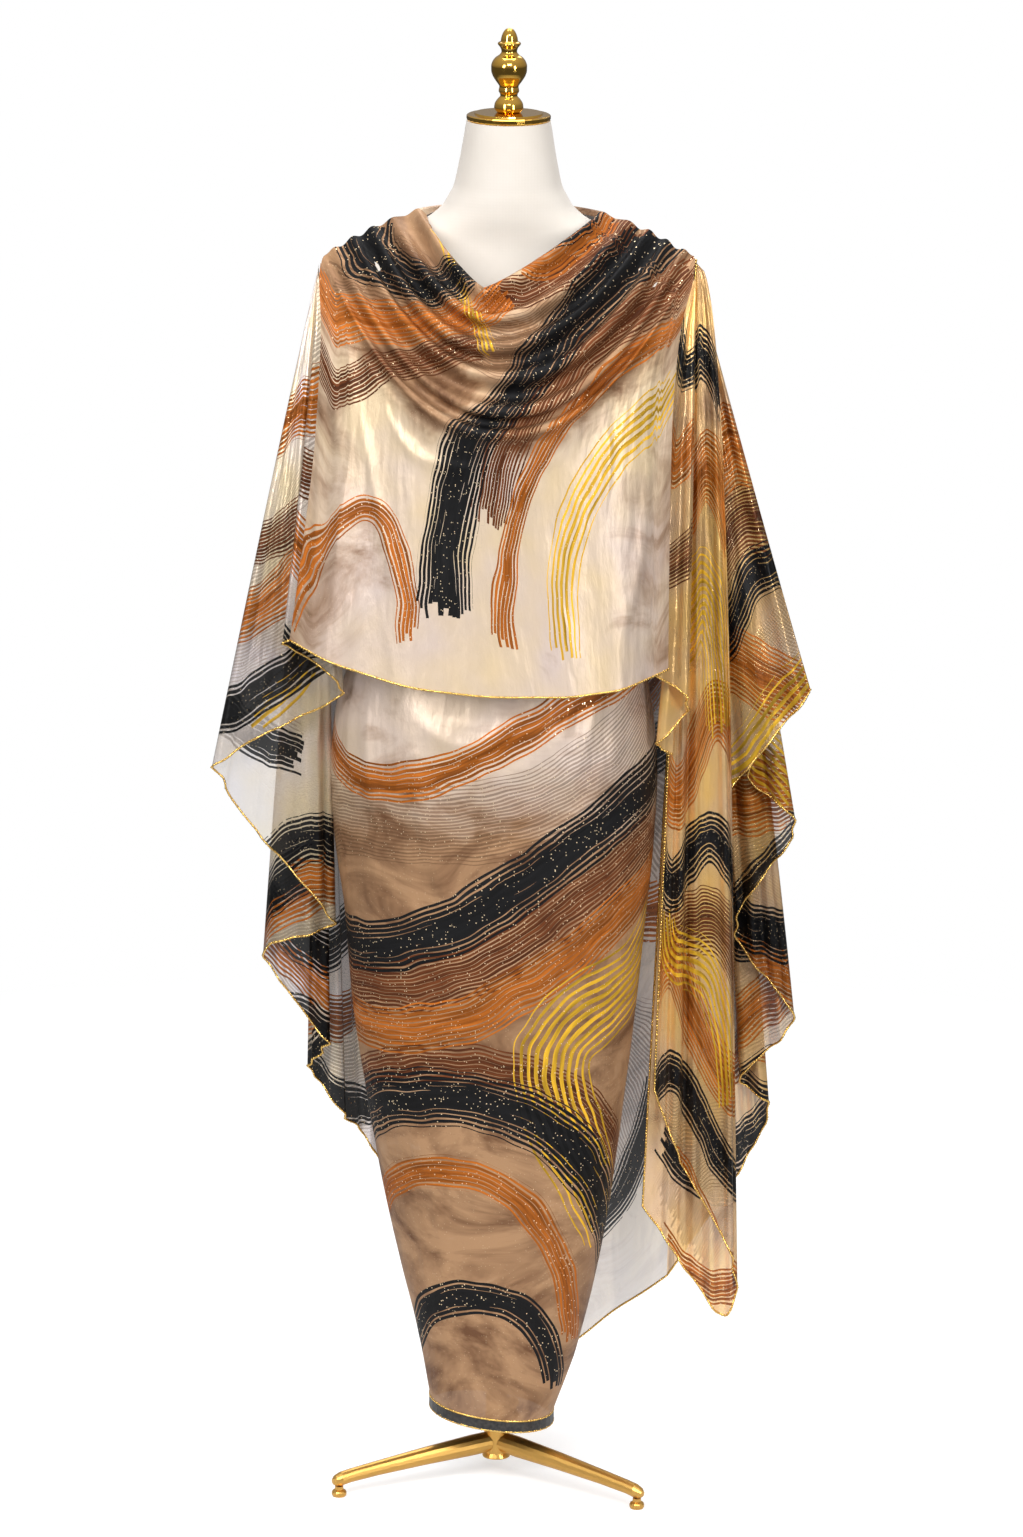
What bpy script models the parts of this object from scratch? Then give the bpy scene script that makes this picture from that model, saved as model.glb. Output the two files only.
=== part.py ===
"""A toub, one long wound cloth, worn by a limbless dress form on a gold tripod stand.

Metres, +Z up, the viewer on the -Y side and the form's right hand at -X. The cloth is built as
thin closed walls, one for each stretch that shows: a wrapped skirt with its dark hem band, a
cowled front, a pleated fall at each side, the loose end that hangs over the front of one
shoulder, and the back. Every wall is a surface worked out on a grid from the short tables
below, moved half a wall to each side.
"""

import math

import bpy
import numpy as np
from mathutils import Vector
from mathutils.bvhtree import BVHTree

# Driving sizes, metres
HEIGHT = 1.700
NECK_TOP = 1.596
FORM_BOTTOM = 0.640
WALL = 0.0020
SEAM = 0.0012
JOINT = 0.0003
OFF_FORM = 0.0007
REACH_OF_FORM = 0.06
STAND_REACH = 0.200
STAND_TURN = -5.3
POLE_RADIUS = 0.0125
HUB_RADIUS = 0.0145

# The form: height, half width, front and back of each level section
FORM = (
    (0.640, 0.118, -0.084, 0.080),
    (0.650, 0.142, -0.100, 0.092),
    (0.675, 0.156, -0.109, 0.098),
    (0.740, 0.165, -0.116, 0.104),
    (0.840, 0.173, -0.121, 0.110),
    (0.930, 0.164, -0.116, 0.108),
    (1.000, 0.143, -0.107, 0.099),
    (1.060, 0.125, -0.099, 0.092),
    (1.095, 0.120, -0.098, 0.091),
    (1.150, 0.125, -0.103, 0.093),
    (1.210, 0.138, -0.117, 0.099),
    (1.270, 0.149, -0.126, 0.104),
    (1.320, 0.157, -0.117, 0.108),
    (1.370, 0.172, -0.099, 0.098),
    (1.400, 0.188, -0.081, 0.082),
    (1.418, 0.194, -0.067, 0.069),
    (1.432, 0.187, -0.056, 0.061),
    (1.446, 0.168, -0.049, 0.057),
    (1.461, 0.139, -0.046, 0.056),
    (1.475, 0.109, -0.048, 0.059),
    (1.488, 0.086, -0.051, 0.057),
    (1.500, 0.073, -0.052, 0.055),
    (1.522, 0.061, -0.051, 0.052),
    (1.555, 0.054, -0.049, 0.049),
    (NECK_TOP, 0.0472, -0.0466, 0.0466),
)
FORM_SQUARENESS = 2.1

# The wrapped skirt: height, left, right, front and back of each level section
SKIRT = (
    (0.092, -0.078, 0.066, -0.072, 0.060),
    (0.165, -0.092, 0.091, -0.086, 0.075),
    (0.260, -0.115, 0.113, -0.101, 0.089),
    (0.345, -0.134, 0.128, -0.112, 0.098),
    (0.430, -0.150, 0.139, -0.120, 0.105),
    (0.565, -0.170, 0.154, -0.129, 0.113),
    (0.680, -0.180, 0.165, -0.134, 0.118),
    (0.780, -0.193, 0.174, -0.137, 0.122),
    (0.850, -0.196, 0.177, -0.138, 0.124),
    (0.910, -0.192, 0.173, -0.136, 0.122),
    (0.970, -0.176, 0.162, -0.128, 0.115),
    (1.040, -0.146, 0.140, -0.113, 0.103),
    (1.110, -0.123, 0.123, -0.101, 0.094),
)
SKIRT_SQUARENESS = 2.1
HEM_LEAN = (-0.125, 0.030)
HEM_BAND = 0.012

# The cowled front, a row for each fold and hollow from the neck to the hem:
# left end x y z, lowest point x y z, right end x y z, and how round its bow is
COWL = (
    (-0.091, 0.008, 1.487, -0.026, -0.106, 1.402, 0.097, 0.008, 1.487, 1.10),
    (-0.102, 0.008, 1.498, -0.026, -0.121, 1.422, 0.107, 0.008, 1.496, 1.15),
    (-0.114, 0.008, 1.483, -0.022, -0.127, 1.402, 0.121, 0.008, 1.482, 1.45),
    (-0.131, 0.008, 1.487, -0.018, -0.143, 1.396, 0.138, 0.008, 1.486, 1.70),
    (-0.142, 0.008, 1.471, -0.014, -0.136, 1.378, 0.149, 0.008, 1.469, 1.85),
    (-0.154, 0.008, 1.477, -0.018, -0.153, 1.366, 0.160, 0.008, 1.477, 2.00),
    (-0.164, 0.008, 1.459, -0.010, -0.145, 1.348, 0.170, 0.008, 1.459, 2.05),
    (-0.175, 0.008, 1.466, 0.000, -0.162, 1.334, 0.180, 0.008, 1.466, 2.10),
    (-0.185, 0.008, 1.448, 0.000, -0.154, 1.313, 0.189, 0.008, 1.448, 2.10),
    (-0.195, 0.008, 1.452, 0.000, -0.168, 1.296, 0.199, 0.008, 1.454, 2.10),
    (-0.202, 0.008, 1.441, -0.002, -0.162, 1.282, 0.206, 0.008, 1.443, 2.10),
    (-0.208, 0.008, 1.440, -0.004, -0.171, 1.270, 0.212, 0.008, 1.444, 2.10),
)
APRON = (
    (-0.2110, -0.014, 1.418, -0.003, -0.164, 1.250, 0.2090, -0.014, 1.420, 2.20),
    (-0.2080, -0.052, 1.360, 0.000, -0.159, 1.215, 0.1940, -0.052, 1.362, 2.30),
    (-0.2130, -0.080, 1.250, 0.005, -0.157, 1.140, 0.1860, -0.082, 1.250, 2.40),
    (-0.2270, -0.095, 1.125, 0.015, -0.159, 1.058, 0.1850, -0.094, 1.115, 2.40),
    (-0.2405, -0.103, 1.021, 0.030, -0.165, 0.972, 0.1855, -0.100, 0.991, 2.40),
)
FRONT_ACROSS = 25
FRONT_EVEN = 0.35
FRONT_REACH = 2.5

# Soft folds below the cowl, and down the back: the ridge's place at the top and at the hem,
# -1 to 1 across, its half width and depth, and how far down it starts
APRON_FOLDS = (
    (-0.84, -0.86, 0.11, 0.012, 0.00),
    (-0.60, -0.50, 0.13, 0.007, 0.15),
    (-0.20, -0.16, 0.14, 0.004, 0.40),
    (0.30, 0.28, 0.14, 0.004, 0.45),
    (0.74, 0.66, 0.14, 0.010, 0.05),
)
BACK_FOLDS = (
    (-0.70, -0.62, 0.16, 0.016, 0.00),
    (-0.22, -0.20, 0.16, 0.014, 0.05),
    (0.20, 0.24, 0.16, 0.016, 0.00),
    (0.66, 0.66, 0.16, 0.014, 0.10),
)
FOLD_GROWTH = 0.7

# The hem of each fall, a row for each turn of its pleats from front to back:
# x, y, z of the turn and how soon the cloth above it has spread to its full width
LEFT_HEM = (
    (-0.2405, -0.103, 1.021, 1.0),
    (-0.2480, -0.093, 1.014, 1.0),
    (-0.1830, -0.072, 0.955, 0.7),
    (-0.3220, -0.045, 0.853, 1.0),
    (-0.2000, -0.018, 0.672, 0.8),
    (-0.2750, 0.008, 0.630, 0.9),
    (-0.2100, 0.035, 0.508, 0.9),
    (-0.2240, 0.060, 0.478, 1.0),
    (-0.1720, 0.095, 0.400, 1.0),
    (-0.1100, 0.132, 0.300, 1.0),
)
RIGHT_TURN_HEM = (
    (0.1855, -0.100, 0.991, 1.0),
    (0.1660, -0.089, 0.984, 0.9),
    (0.2120, -0.073, 0.946, 0.5),
    (0.1770, -0.057, 0.893, 0.9),
    (0.1930, -0.048, 0.880, 0.9),
)
RIGHT_HEM = (
    (0.2180, 0.002, 0.772, 0.9),
    (0.3530, 0.012, 0.944, 1.0),
    (0.2800, 0.030, 0.842, 1.0),
    (0.3390, 0.048, 0.772, 0.9),
    (0.2710, 0.066, 0.650, 0.9),
    (0.3390, 0.084, 0.534, 0.8),
    (0.2820, 0.101, 0.455, 0.9),
    (0.3190, 0.116, 0.414, 0.9),
    (0.2460, 0.130, 0.275, 1.0),
    (0.2000, 0.140, 0.200, 1.0),
)
LOOSE_END_HEM = (
    (0.1780, -0.0440, 0.482, 0.70),
    (0.2080, -0.0380, 0.400, 0.70),
    (0.2780, -0.0300, 0.256, 0.40),
    (0.2620, -0.0230, 0.203, 0.45),
    (0.1670, -0.0140, 0.333, 0.90),
)
# Where each fall is gathered at the tip of the shoulder: x, first and last y, first and last z
LEFT_TOP = (-0.2125, -0.014, 0.040, 1.417, 1.411)
RIGHT_TURN_TOP = (0.2120, -0.014, -0.005, 1.419, 1.426)
LOOSE_END_TOP = (0.2125, 0.000, 0.013, 1.4335, 1.4376)
RIGHT_TOP = (0.2120, 0.019, 0.046, 1.425, 1.407)
LEFT_CREST = 0.015
RUN_STEPS = (0.0, 0.13, 0.35, 0.65, 0.87)
TURN_ROUNDNESS = 4.0
FALL_DEPTH_EASE = 0.45
FALL_ROWS = 9

# Where two stretches meet: a stretch, its first or last column, and the same of the other
SEAM_REACH = 0.030
SEAMS = (
    ("front_drape", 0, "back_drape", -1),
    ("front_drape", -1, "back_drape", 0),
    ("front_drape", 0, "left_fall", -1),
    ("front_drape", -1, "right_turn", 0),
    ("left_fall", 0, "back_drape", -1),
    ("right_fall", -1, "back_drape", 0),
)

# The back, neck to hem: the row, its lowest point x y z, and how round its bow is
BACK_MIDDLE = (
    (0.0, 0.000, 0.072, 1.486, 2.0),
    (1.0, 0.000, 0.075, 1.492, 2.0),
    (3.0, 0.000, 0.090, 1.468, 2.0),
    (6.0, 0.000, 0.108, 1.425, 2.0),
    (9.0, 0.000, 0.120, 1.380, 2.0),
    (11.0, 0.000, 0.127, 1.340, 2.0),
    (12.0, 0.000, 0.130, 1.300, 2.0),
    (14.0, 0.002, 0.136, 1.050, 1.8),
    (16.0, 0.005, 0.142, 0.700, 1.5),
    (18.0, 0.010, 0.150, 0.330, 1.2),
    (20.0, 0.014, 0.155, 0.052, 1.05),
)
BACK_ACROSS = 19
BACK_EVEN = 0.45
BACK_ROWS_BELOW = 8

# The finial over the neck cap: height and radius down its outer side
FINIAL = (
    (1.6982, 0.0046), (1.6945, 0.0080), (1.6885, 0.0097), (1.6845, 0.0102), (1.6832, 0.0130),
    (1.6812, 0.0130), (1.6780, 0.0104), (1.6745, 0.0093), (1.6705, 0.0106), (1.6670, 0.0145),
    (1.6635, 0.0183), (1.6590, 0.0203), (1.6530, 0.0205), (1.6475, 0.0190), (1.6410, 0.0143),
    (1.6345, 0.0102), (1.6325, 0.0118), (1.6300, 0.0118), (1.6275, 0.0094), (1.6240, 0.0100),
    (1.6195, 0.0145), (1.6140, 0.0167), (1.6095, 0.0156), (1.6060, 0.0128), (1.6053, 0.0128),
)
NECK_CAP = ((1.6050, 0.0380), (1.6032, 0.0388), (1.6030, 0.0455), (1.6018, 0.0472),
            (1.5982, 0.0472), (1.5963, 0.0462))
HUB = ((0.0700, 0.0135), (0.0685, 0.0145), (0.0280, 0.0145), (0.0255, 0.0156), (0.0235, 0.0164),
       (0.0222, 0.0160))
FOOT = ((0.0121, 0.0048), (0.0085, 0.0050), (0.0068, 0.0078), (0.0052, 0.0086), (0.0022, 0.0086),
        (0.0000, 0.0074))
LEG = ((0.0150, 0.0405, 0.0120), (0.0300, 0.0392, 0.0122), (0.0900, 0.0340, 0.0104),
       (0.1500, 0.0276, 0.0086), (0.1860, 0.0230, 0.0080), (0.1980, 0.0206, 0.0082),
       (0.2050, 0.0192, 0.0064), (0.2080, 0.0188, 0.0034))

# The finishes: colour, roughness and metallic value
FINISHES = {
    "print_cloth": ((0.60, 0.42, 0.30, 1.0), 0.32, 0.45),
    "hem_border": ((0.03, 0.03, 0.035, 1.0), 0.45, 0.10),
    "linen": ((0.86, 0.82, 0.76, 1.0), 0.85, 0.00),
    "gold": ((0.83, 0.56, 0.17, 1.0), 0.18, 1.00),
}


def clear_scene():
    for thing in list(bpy.data.objects):
        bpy.data.objects.remove(thing, do_unlink=True)


def finish_of(node, kind):
    """A Principled material of the node's own, in the finish that it has."""
    colour, roughness, metallic = FINISHES[kind]
    made = bpy.data.materials.new(f"{node}_{kind}")
    made.use_nodes = True
    shader = made.node_tree.nodes["Principled BSDF"]
    shader.inputs["Base Color"].default_value = colour
    shader.inputs["Roughness"].default_value = roughness
    shader.inputs["Metallic"].default_value = metallic
    made.diffuse_color = colour
    return made


def add_piece(node, points, faces, kind, holder, sharp_degrees=40.0):
    mesh = bpy.data.meshes.new(node)
    mesh.from_pydata([tuple(p) for p in np.asarray(points).tolist()], [], faces)
    mesh.materials.append(finish_of(node, kind))
    mesh.shade_smooth()
    mesh.set_sharp_from_angle(angle=math.radians(sharp_degrees))
    piece = bpy.data.objects.new(node, mesh)
    bpy.context.collection.objects.link(piece)
    piece.parent = holder
    return piece


def curve_through(rows, at):
    """The columns of a table read between its rows with no overshoot: a cubic in each interval
    whose slope at a row is zero where a column turns and the harmonic mean of its sides elsewhere."""
    rows = np.asarray(rows, float)
    at = np.asarray(at, float)
    steps = np.diff(rows, axis=0)
    before, after = steps[:-1], steps[1:]
    same_way = before * after > 0
    safe_sum = np.where(same_way, before + after, 1.0)
    inner = np.where(same_way, 2 * before * after / safe_sum, 0.0)
    slopes = np.vstack([steps[:1], inner, steps[-1:]])
    low = np.clip(at.astype(int), 0, len(rows) - 2)
    t = (at - low)[:, None]
    t2, t3 = t * t, t * t * t
    return ((2 * t3 - 3 * t2 + 1) * rows[low] + (t3 - 2 * t2 + t) * slopes[low]
            + (3 * t2 - 2 * t3) * rows[low + 1] + (t3 - t2) * slopes[low + 1])


def read_at(table, key):
    """A table's other columns at values of its first column, along the same kind of curve."""
    table = np.asarray(table, float)
    place = np.interp(key, table[:, 0], np.arange(len(table)))
    return curve_through(table[:, 1:], place)


def level_ring(half_width, centre_x, front, back, squareness, around):
    """A level closed section: a superellipse of the given reach to each side, front and back."""
    angle = np.arange(around) * 2 * np.pi / around
    c, s = np.cos(angle), np.sin(angle)
    power = 2.0 / squareness
    across = np.sign(c) * np.abs(c) ** power
    deep = np.sign(s) * np.abs(s) ** power
    middle, depth = (front + back) / 2, (back - front) / 2
    return np.stack([centre_x + half_width * across, middle + depth * deep], axis=-1)


def normals_of(grid, ring):
    """Unit normals of a grid of points: columns' step crossed with rows' step, which wraps
    round the columns of a ring."""
    if ring:
        across = np.roll(grid, -1, axis=1) - np.roll(grid, 1, axis=1)
    else:
        across = np.gradient(grid, axis=1)
    down = np.gradient(grid, axis=0)
    normal = np.cross(across, down)
    return normal / np.maximum(np.linalg.norm(normal, axis=2, keepdims=True), 1e-12)


def share_seam(normal_a, edge_a, normal_b, edge_b):
    """Normals along two edges that meet, each made the mean of its own and the nearest one
    of the other edge, so that the two walls end face to face."""
    both = []
    pairs = ((normal_a, edge_a, normal_b, edge_b), (normal_b, edge_b, normal_a, edge_a))
    for own, points, other, others in pairs:
        apart = np.linalg.norm(points[:, None] - others[None], axis=2)
        meets = apart.min(axis=1) < SEAM_REACH
        mean = own + other[apart.argmin(axis=1)] * meets[:, None]
        both.append(mean / np.linalg.norm(mean, axis=1, keepdims=True))
    return both


def wall_mesh(grid, normal, ring=False):
    """Points and faces of a closed wall: the grid moved half a wall along its normals to each
    side, with strips of faces that join the two sides round the open edges."""
    rows, across = grid.shape[:2]
    points = np.concatenate([(grid + normal * WALL / 2).reshape(-1, 3),
                             (grid - normal * WALL / 2).reshape(-1, 3)])
    inner = rows * across
    last = across if ring else across - 1
    faces = []
    for i in range(rows - 1):
        for j in range(last):
            k = (j + 1) % across
            a, b, c, d = i * across + j, i * across + k, (i + 1) * across + k, (i + 1) * across + j
            faces.append((a, b, c, d))
            faces.append((inner + a, inner + d, inner + c, inner + b))
    for j in range(last):
        k = (j + 1) % across
        low = (rows - 1) * across
        faces.append((inner + j, inner + k, k, j))
        faces.append((low + j, low + k, inner + low + k, inner + low + j))
    if not ring:
        for i in range(rows - 1):
            a, d = i * across, (i + 1) * across
            b, c = a + across - 1, d + across - 1
            faces.append((a, d, inner + d, inner + a))
            faces.append((c, b, inner + b, inner + c))
    return points, faces


def kept_off(grid, form_tree):
    """The grid with each point that lies in the form, or too near to it, moved out to where
    the wall just clears it, and then each face whose middle is still too near."""
    least = WALL / 2 + OFF_FORM
    moved = grid.copy()

    def push(spot):
        near, normal, _, distance = form_tree.find_nearest(Vector(spot), REACH_OF_FORM)
        if near is None or ((Vector(spot) - near).dot(normal) > 0 and distance >= least):
            return None
        return np.array(near + normal * least) - spot

    for index in np.ndindex(grid.shape[:2]):
        shift = push(moved[index])
        if shift is not None:
            moved[index] += shift
    for _ in range(3):
        for i, j in np.ndindex(grid.shape[0] - 1, grid.shape[1] - 1):
            patch = moved[i:i + 2, j:j + 2]
            middles = (patch.mean(axis=(0, 1)), (patch[0, 0] + patch[1, 1]) / 2,
                       (patch[0, 1] + patch[1, 0]) / 2, patch[0].mean(axis=0), patch[:, 0].mean(axis=0))
            for spot in middles:
                shift = push(spot)
                if shift is not None:
                    patch += shift
    return moved


def turned(node, profile, kind, holder, around=20, centre=(0.0, 0.0), tip=None):
    """A solid turned about an upright axis from (height, radius) rows, top to bottom."""
    angle = np.arange(around) * 2 * np.pi / around
    points = [(centre[0] + r * math.cos(a), centre[1] + r * math.sin(a), z)
              for z, r in profile for a in angle]
    faces = []
    for i in range(len(profile) - 1):
        for j in range(around):
            k = (j + 1) % around
            faces.append((i * around + j, (i + 1) * around + j, (i + 1) * around + k, i * around + k))
    if tip is None:
        faces.append(tuple(range(around)))
    else:
        points.append((centre[0], centre[1], tip))
        faces += [(len(points) - 1, j, (j + 1) % around) for j in range(around)]
    low = (len(profile) - 1) * around
    faces.append(tuple(low + j for j in reversed(range(around))))
    return add_piece(node, points, faces, kind, holder)


# The form and its stand

def form_torso(holder, around=32):
    """The padded form: level sections lofted from the hips to the neck, closed at both ends.
    Gives back the tree of its faces, which the cloth is kept off."""
    rings = []
    for height, half, front, back in FORM:
        plan = level_ring(half, 0.0, front, back, FORM_SQUARENESS, around)
        rings.append(np.column_stack([plan, np.full(around, height)]))
    points = np.concatenate(rings)
    faces = []
    for i in range(len(FORM) - 1):
        for j in range(around):
            k = (j + 1) % around
            faces.append((i * around + j, i * around + k, (i + 1) * around + k, (i + 1) * around + j))
    top = (len(FORM) - 1) * around
    faces.append(tuple(reversed(range(around))))
    faces.append(tuple(top + j for j in range(around)))
    add_piece("form_torso", points, faces, "linen", holder, 60.0)
    return BVHTree.FromPolygons([Vector(p) for p in points], faces)


def stand_leg(number, holder, around=16):
    """A tapering round arm from the hub to a rounded tip over its foot. Its inner end follows
    the hub's round, so the ring there is moved in along the arm by the hub's curve."""
    heading = math.radians(-90.0 + STAND_TURN + 120.0 * number + 60.0)
    out = np.array([math.cos(heading), math.sin(heading), 0.0])
    side = np.array([-math.sin(heading), math.cos(heading), 0.0])
    angle = np.arange(around) * 2 * np.pi / around
    rings = []
    for reach, height, radius in LEG:
        ring = (out * reach + np.outer(np.cos(angle) * radius, side)
                + np.outer(np.sin(angle) * radius, (0, 0, 1)) + (0, 0, height))
        rings.append(ring)
    lateral = np.cos(angle) * LEG[0][2]
    start = np.sqrt((HUB_RADIUS + 2 * JOINT) ** 2 - lateral ** 2)
    rings[0] += np.outer(start - LEG[0][0], out)
    points = np.concatenate(rings)
    faces = []
    for i in range(len(LEG) - 1):
        for j in range(around):
            k = (j + 1) % around
            faces.append((i * around + j, i * around + k, (i + 1) * around + k, (i + 1) * around + j))
    for j in range(around // 2):
        faces.append(((around - j) % around, around - j - 1, j + 1, j))
    faces = [face if len(set(face)) == 4 else tuple(dict.fromkeys(face)) for face in faces]
    low = (len(LEG) - 1) * around
    faces.append(tuple(low + j for j in range(around)))
    add_piece(f"base_leg_{number + 1}", points, faces, "gold", holder)
    return out


def stand(holder):
    turned("form_neck_cap", NECK_CAP, "gold", holder, around=32)
    turned("form_finial", FINIAL, "gold", holder, around=16, tip=HEIGHT)
    pole = ((FORM_BOTTOM - JOINT, POLE_RADIUS), (HUB[0][0] + JOINT, POLE_RADIUS))
    turned("form_pole", pole, "gold", holder, around=20)
    turned("base_hub", HUB, "gold", holder, around=24)
    for number in range(3):
        out = stand_leg(number, holder)
        spot = out * STAND_REACH
        turned(f"base_foot_{number + 1}", FOOT, "gold", holder, 16, (spot[0], spot[1]))


# The cloth

def skirt_grid(heights, around, hem_drop=0.0):
    """Rings of the wrapped skirt, from its hem up. A ring's height leans with the hem at the
    bottom and is level at the top."""
    low, high = SKIRT[0][0], SKIRT[-1][0]
    rings = []
    for height in heights:
        left, right, front, back = read_at(SKIRT, [height])[0]
        plan = level_ring((right - left) / 2, (left + right) / 2, front, back, SKIRT_SQUARENESS, around)
        lean = (high - height) / (high - low)
        level = height + lean * (plan @ np.array(HEM_LEAN)) - hem_drop
        rings.append(np.column_stack([plan, level]))
    return np.stack(rings)


def skirt(holder, form_tree, around=36, rows=15):
    low, high = SKIRT[0][0], SKIRT[-1][0]
    grid = skirt_grid(np.linspace(low, high, rows), around)
    grid = kept_off(grid, form_tree)
    points, faces = wall_mesh(grid, normals_of(grid, True), ring=True)
    add_piece("skirt_wrap", points, faces, "print_cloth", holder)
    band = skirt_grid([low], around)[0]
    drop = np.array([0.0, 0.0, 1.0])
    grid = np.stack([band - drop * (SEAM + HEM_BAND), band - drop * (SEAM + HEM_BAND / 2), band - drop * SEAM])
    points, faces = wall_mesh(grid, normals_of(grid, True), ring=True)
    add_piece("skirt_hem_band", points, faces, "hem_border", holder)


def bow_line(row, place):
    """One line of the drape across the body: from its left end down to its lowest point and up
    to its right end, with the table's roundness, and forward at the middle."""
    left, low, right, power = row[0:3], row[3:6], row[6:9], row[9]
    near = np.abs(place)[:, None]
    end = np.where(place[:, None] < 0, left, right)
    x = low[0] + (end[:, 0:1] - low[0]) * near
    y = end[:, 1:2] + (low[1] - end[:, 1:2]) * (1 - near ** FRONT_REACH)
    z = end[:, 2:3] + (low[2] - end[:, 2:3]) * (1 - near ** power)
    return np.concatenate([x, y, z], axis=1)


def spread_places(across, even):
    """Places from -1 to 1, close together at both ends, and the more even the larger even is."""
    share = np.linspace(0, 1, across)
    return even * (2 * share - 1) - (1 - even) * np.cos(np.pi * share)


def folds_forward(place, down, folds):
    """How far soft folds raise the cloth: each is a ridge whose middle goes from its place at
    the top to its place at the hem, and whose depth grows from where it starts."""
    raised = np.zeros((len(down), len(place)))
    for at_top, at_hem, half_width, depth, starts in folds:
        middle = at_top + (at_hem - at_top) * down[:, None]
        grown = np.clip((down[:, None] - starts) / (1 - starts), 0, 1) ** FOLD_GROWTH
        raised += depth * grown * np.exp(-((place[None] - middle) / half_width) ** 2)
    return raised * (1 - place[None] ** 8)


def front_grid(rows_each, across):
    """The front's grid: the table's bows read along a smooth curve, closer together at the
    shoulders, where they wrap over the form, with soft folds below the cowl."""
    table = np.array(COWL + APRON)
    count = int((len(table) - 1) * rows_each) + 1
    bows = curve_through(table, np.linspace(0, len(table) - 1, count))
    place = spread_places(across, FRONT_EVEN)
    grid = np.stack([bow_line(bow, place) for bow in bows])
    down = np.clip(np.linspace(0, len(table) - 1, count) - len(COWL), 0, None) / (len(APRON) - 1)
    grid[..., 1] -= folds_forward(place, down, APRON_FOLDS)
    return grid


def edge_at(edge, heights):
    """Points of an edge that only falls, at the given heights."""
    order = np.argsort(edge[:, 2])
    return np.column_stack([np.interp(heights, edge[order, 2], edge[order, k]) for k in (0, 1)] + [heights])


def pleat_places(runs):
    """The places of a fall's columns, in runs from turn to turn: close together at a turn, but
    not at the two ends, which are straight."""
    places = np.array([n + step for n in range(runs) for step in RUN_STEPS] + [float(runs)])
    return np.delete(places, [1, len(places) - 2])


def hem_line(stations, places):
    """A pleated hem between its turns: sideways it rests at a turn, and there it goes back
    fastest, by a power of the way to the middle of the run, so the turns are round. Its two
    ends are straight."""
    path = curve_through(stations, places)
    low = np.clip(places.astype(int), 0, len(stations) - 2)
    from_middle = 2 * (places - low) - 1
    table = np.asarray(stations, float)
    straight = (places < 0.5) | (places > len(stations) - 1.5)
    power = np.where(straight, 1.0, TURN_ROUNDNESS)
    back = 0.5 + 0.5 * np.sign(from_middle) * np.abs(from_middle) ** power
    path[:, 1] = table[low, 1] + (table[low + 1, 1] - table[low, 1]) * back
    return path


def fall_grid(stations, top, places, rows, crest=0.0):
    """A pleated fall: each column runs from the gathered line at the shoulder to its place on
    the hem. It spreads sideways as a power of how far down its own length it is, and from front
    to back as a power of the drop alone, so that no layer passes through its neighbour."""
    hem = hem_line(stations, places)
    share = places / (len(stations) - 1)
    top_x, top_front, top_back, high_first, high_last = top
    top_y = top_front + (top_back - top_front) * share
    top_z = high_first + (high_last - high_first) * share + crest * (1 - np.abs(2 * share - 1))
    down = np.linspace(0, 1, rows)[:, None]
    x = top_x + (hem[:, 0] - top_x) * down ** hem[:, 3]
    z = top_z + (hem[:, 2] - top_z) * down
    y = top_y + (hem[:, 1] - top_y) * down ** FALL_DEPTH_EASE
    return np.stack([x, y, z], axis=2)


def following(grid, edge, places):
    """The fall with its first runs eased over, so that its first column lies on the edge."""
    target = edge_at(edge, grid[:, 0, 2])
    shift = target - grid[:, 0]
    fade = np.clip(1 - (places - places[0]) / 2, 0, 1) ** 2
    return grid + shift[:, None, :] * fade[None, :, None]


def drawn_in(grid, end, gap):
    """The grid with the column at one end drawn in along its surface, to leave a seam."""
    beside = 1 if end == 0 else -2
    grid = grid.copy()
    step = grid[:, beside] - grid[:, end]
    length = np.linalg.norm(step, axis=1, keepdims=True)
    grid[:, end] += step / length * gap
    return grid


def back_grid(front, left_edge, right_edge, rows_each, across):
    """The back: its rows start and end on the shoulder line and then on the falls' last
    columns, and bow back round the form between them."""
    shoulder_rows = int((len(COWL) - 1) * rows_each) + 1
    ends = []
    for row in range(shoulder_rows):
        ends.append((front[row, 0], front[row, -1]))
    for t in np.linspace(0, 1, BACK_ROWS_BELOW + 1):
        pair = []
        for edge in (left_edge, right_edge):
            heights = edge[0, 2] + (edge[-1, 2] - edge[0, 2]) * t
            pair.append(edge_at(edge, np.array([heights]))[0])
        ends.append(tuple(pair))
    index = np.concatenate([np.linspace(0, len(COWL) - 1, shoulder_rows),
                            np.linspace(len(COWL), 20.0, BACK_ROWS_BELOW + 1)])
    middle = read_at(BACK_MIDDLE, index)
    place = spread_places(across, BACK_EVEN)
    rows = [np.concatenate([left, low[:3], right, low[3:]]) for (left, right), low in zip(ends, middle)]
    grid = np.stack([bow_line(row, place) for row in rows])
    down = np.clip((index - len(COWL)) / (index[-1] - len(COWL)), 0, 1)
    grid[..., 1] += folds_forward(place, down, BACK_FOLDS)
    return grid[:, ::-1]


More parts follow.
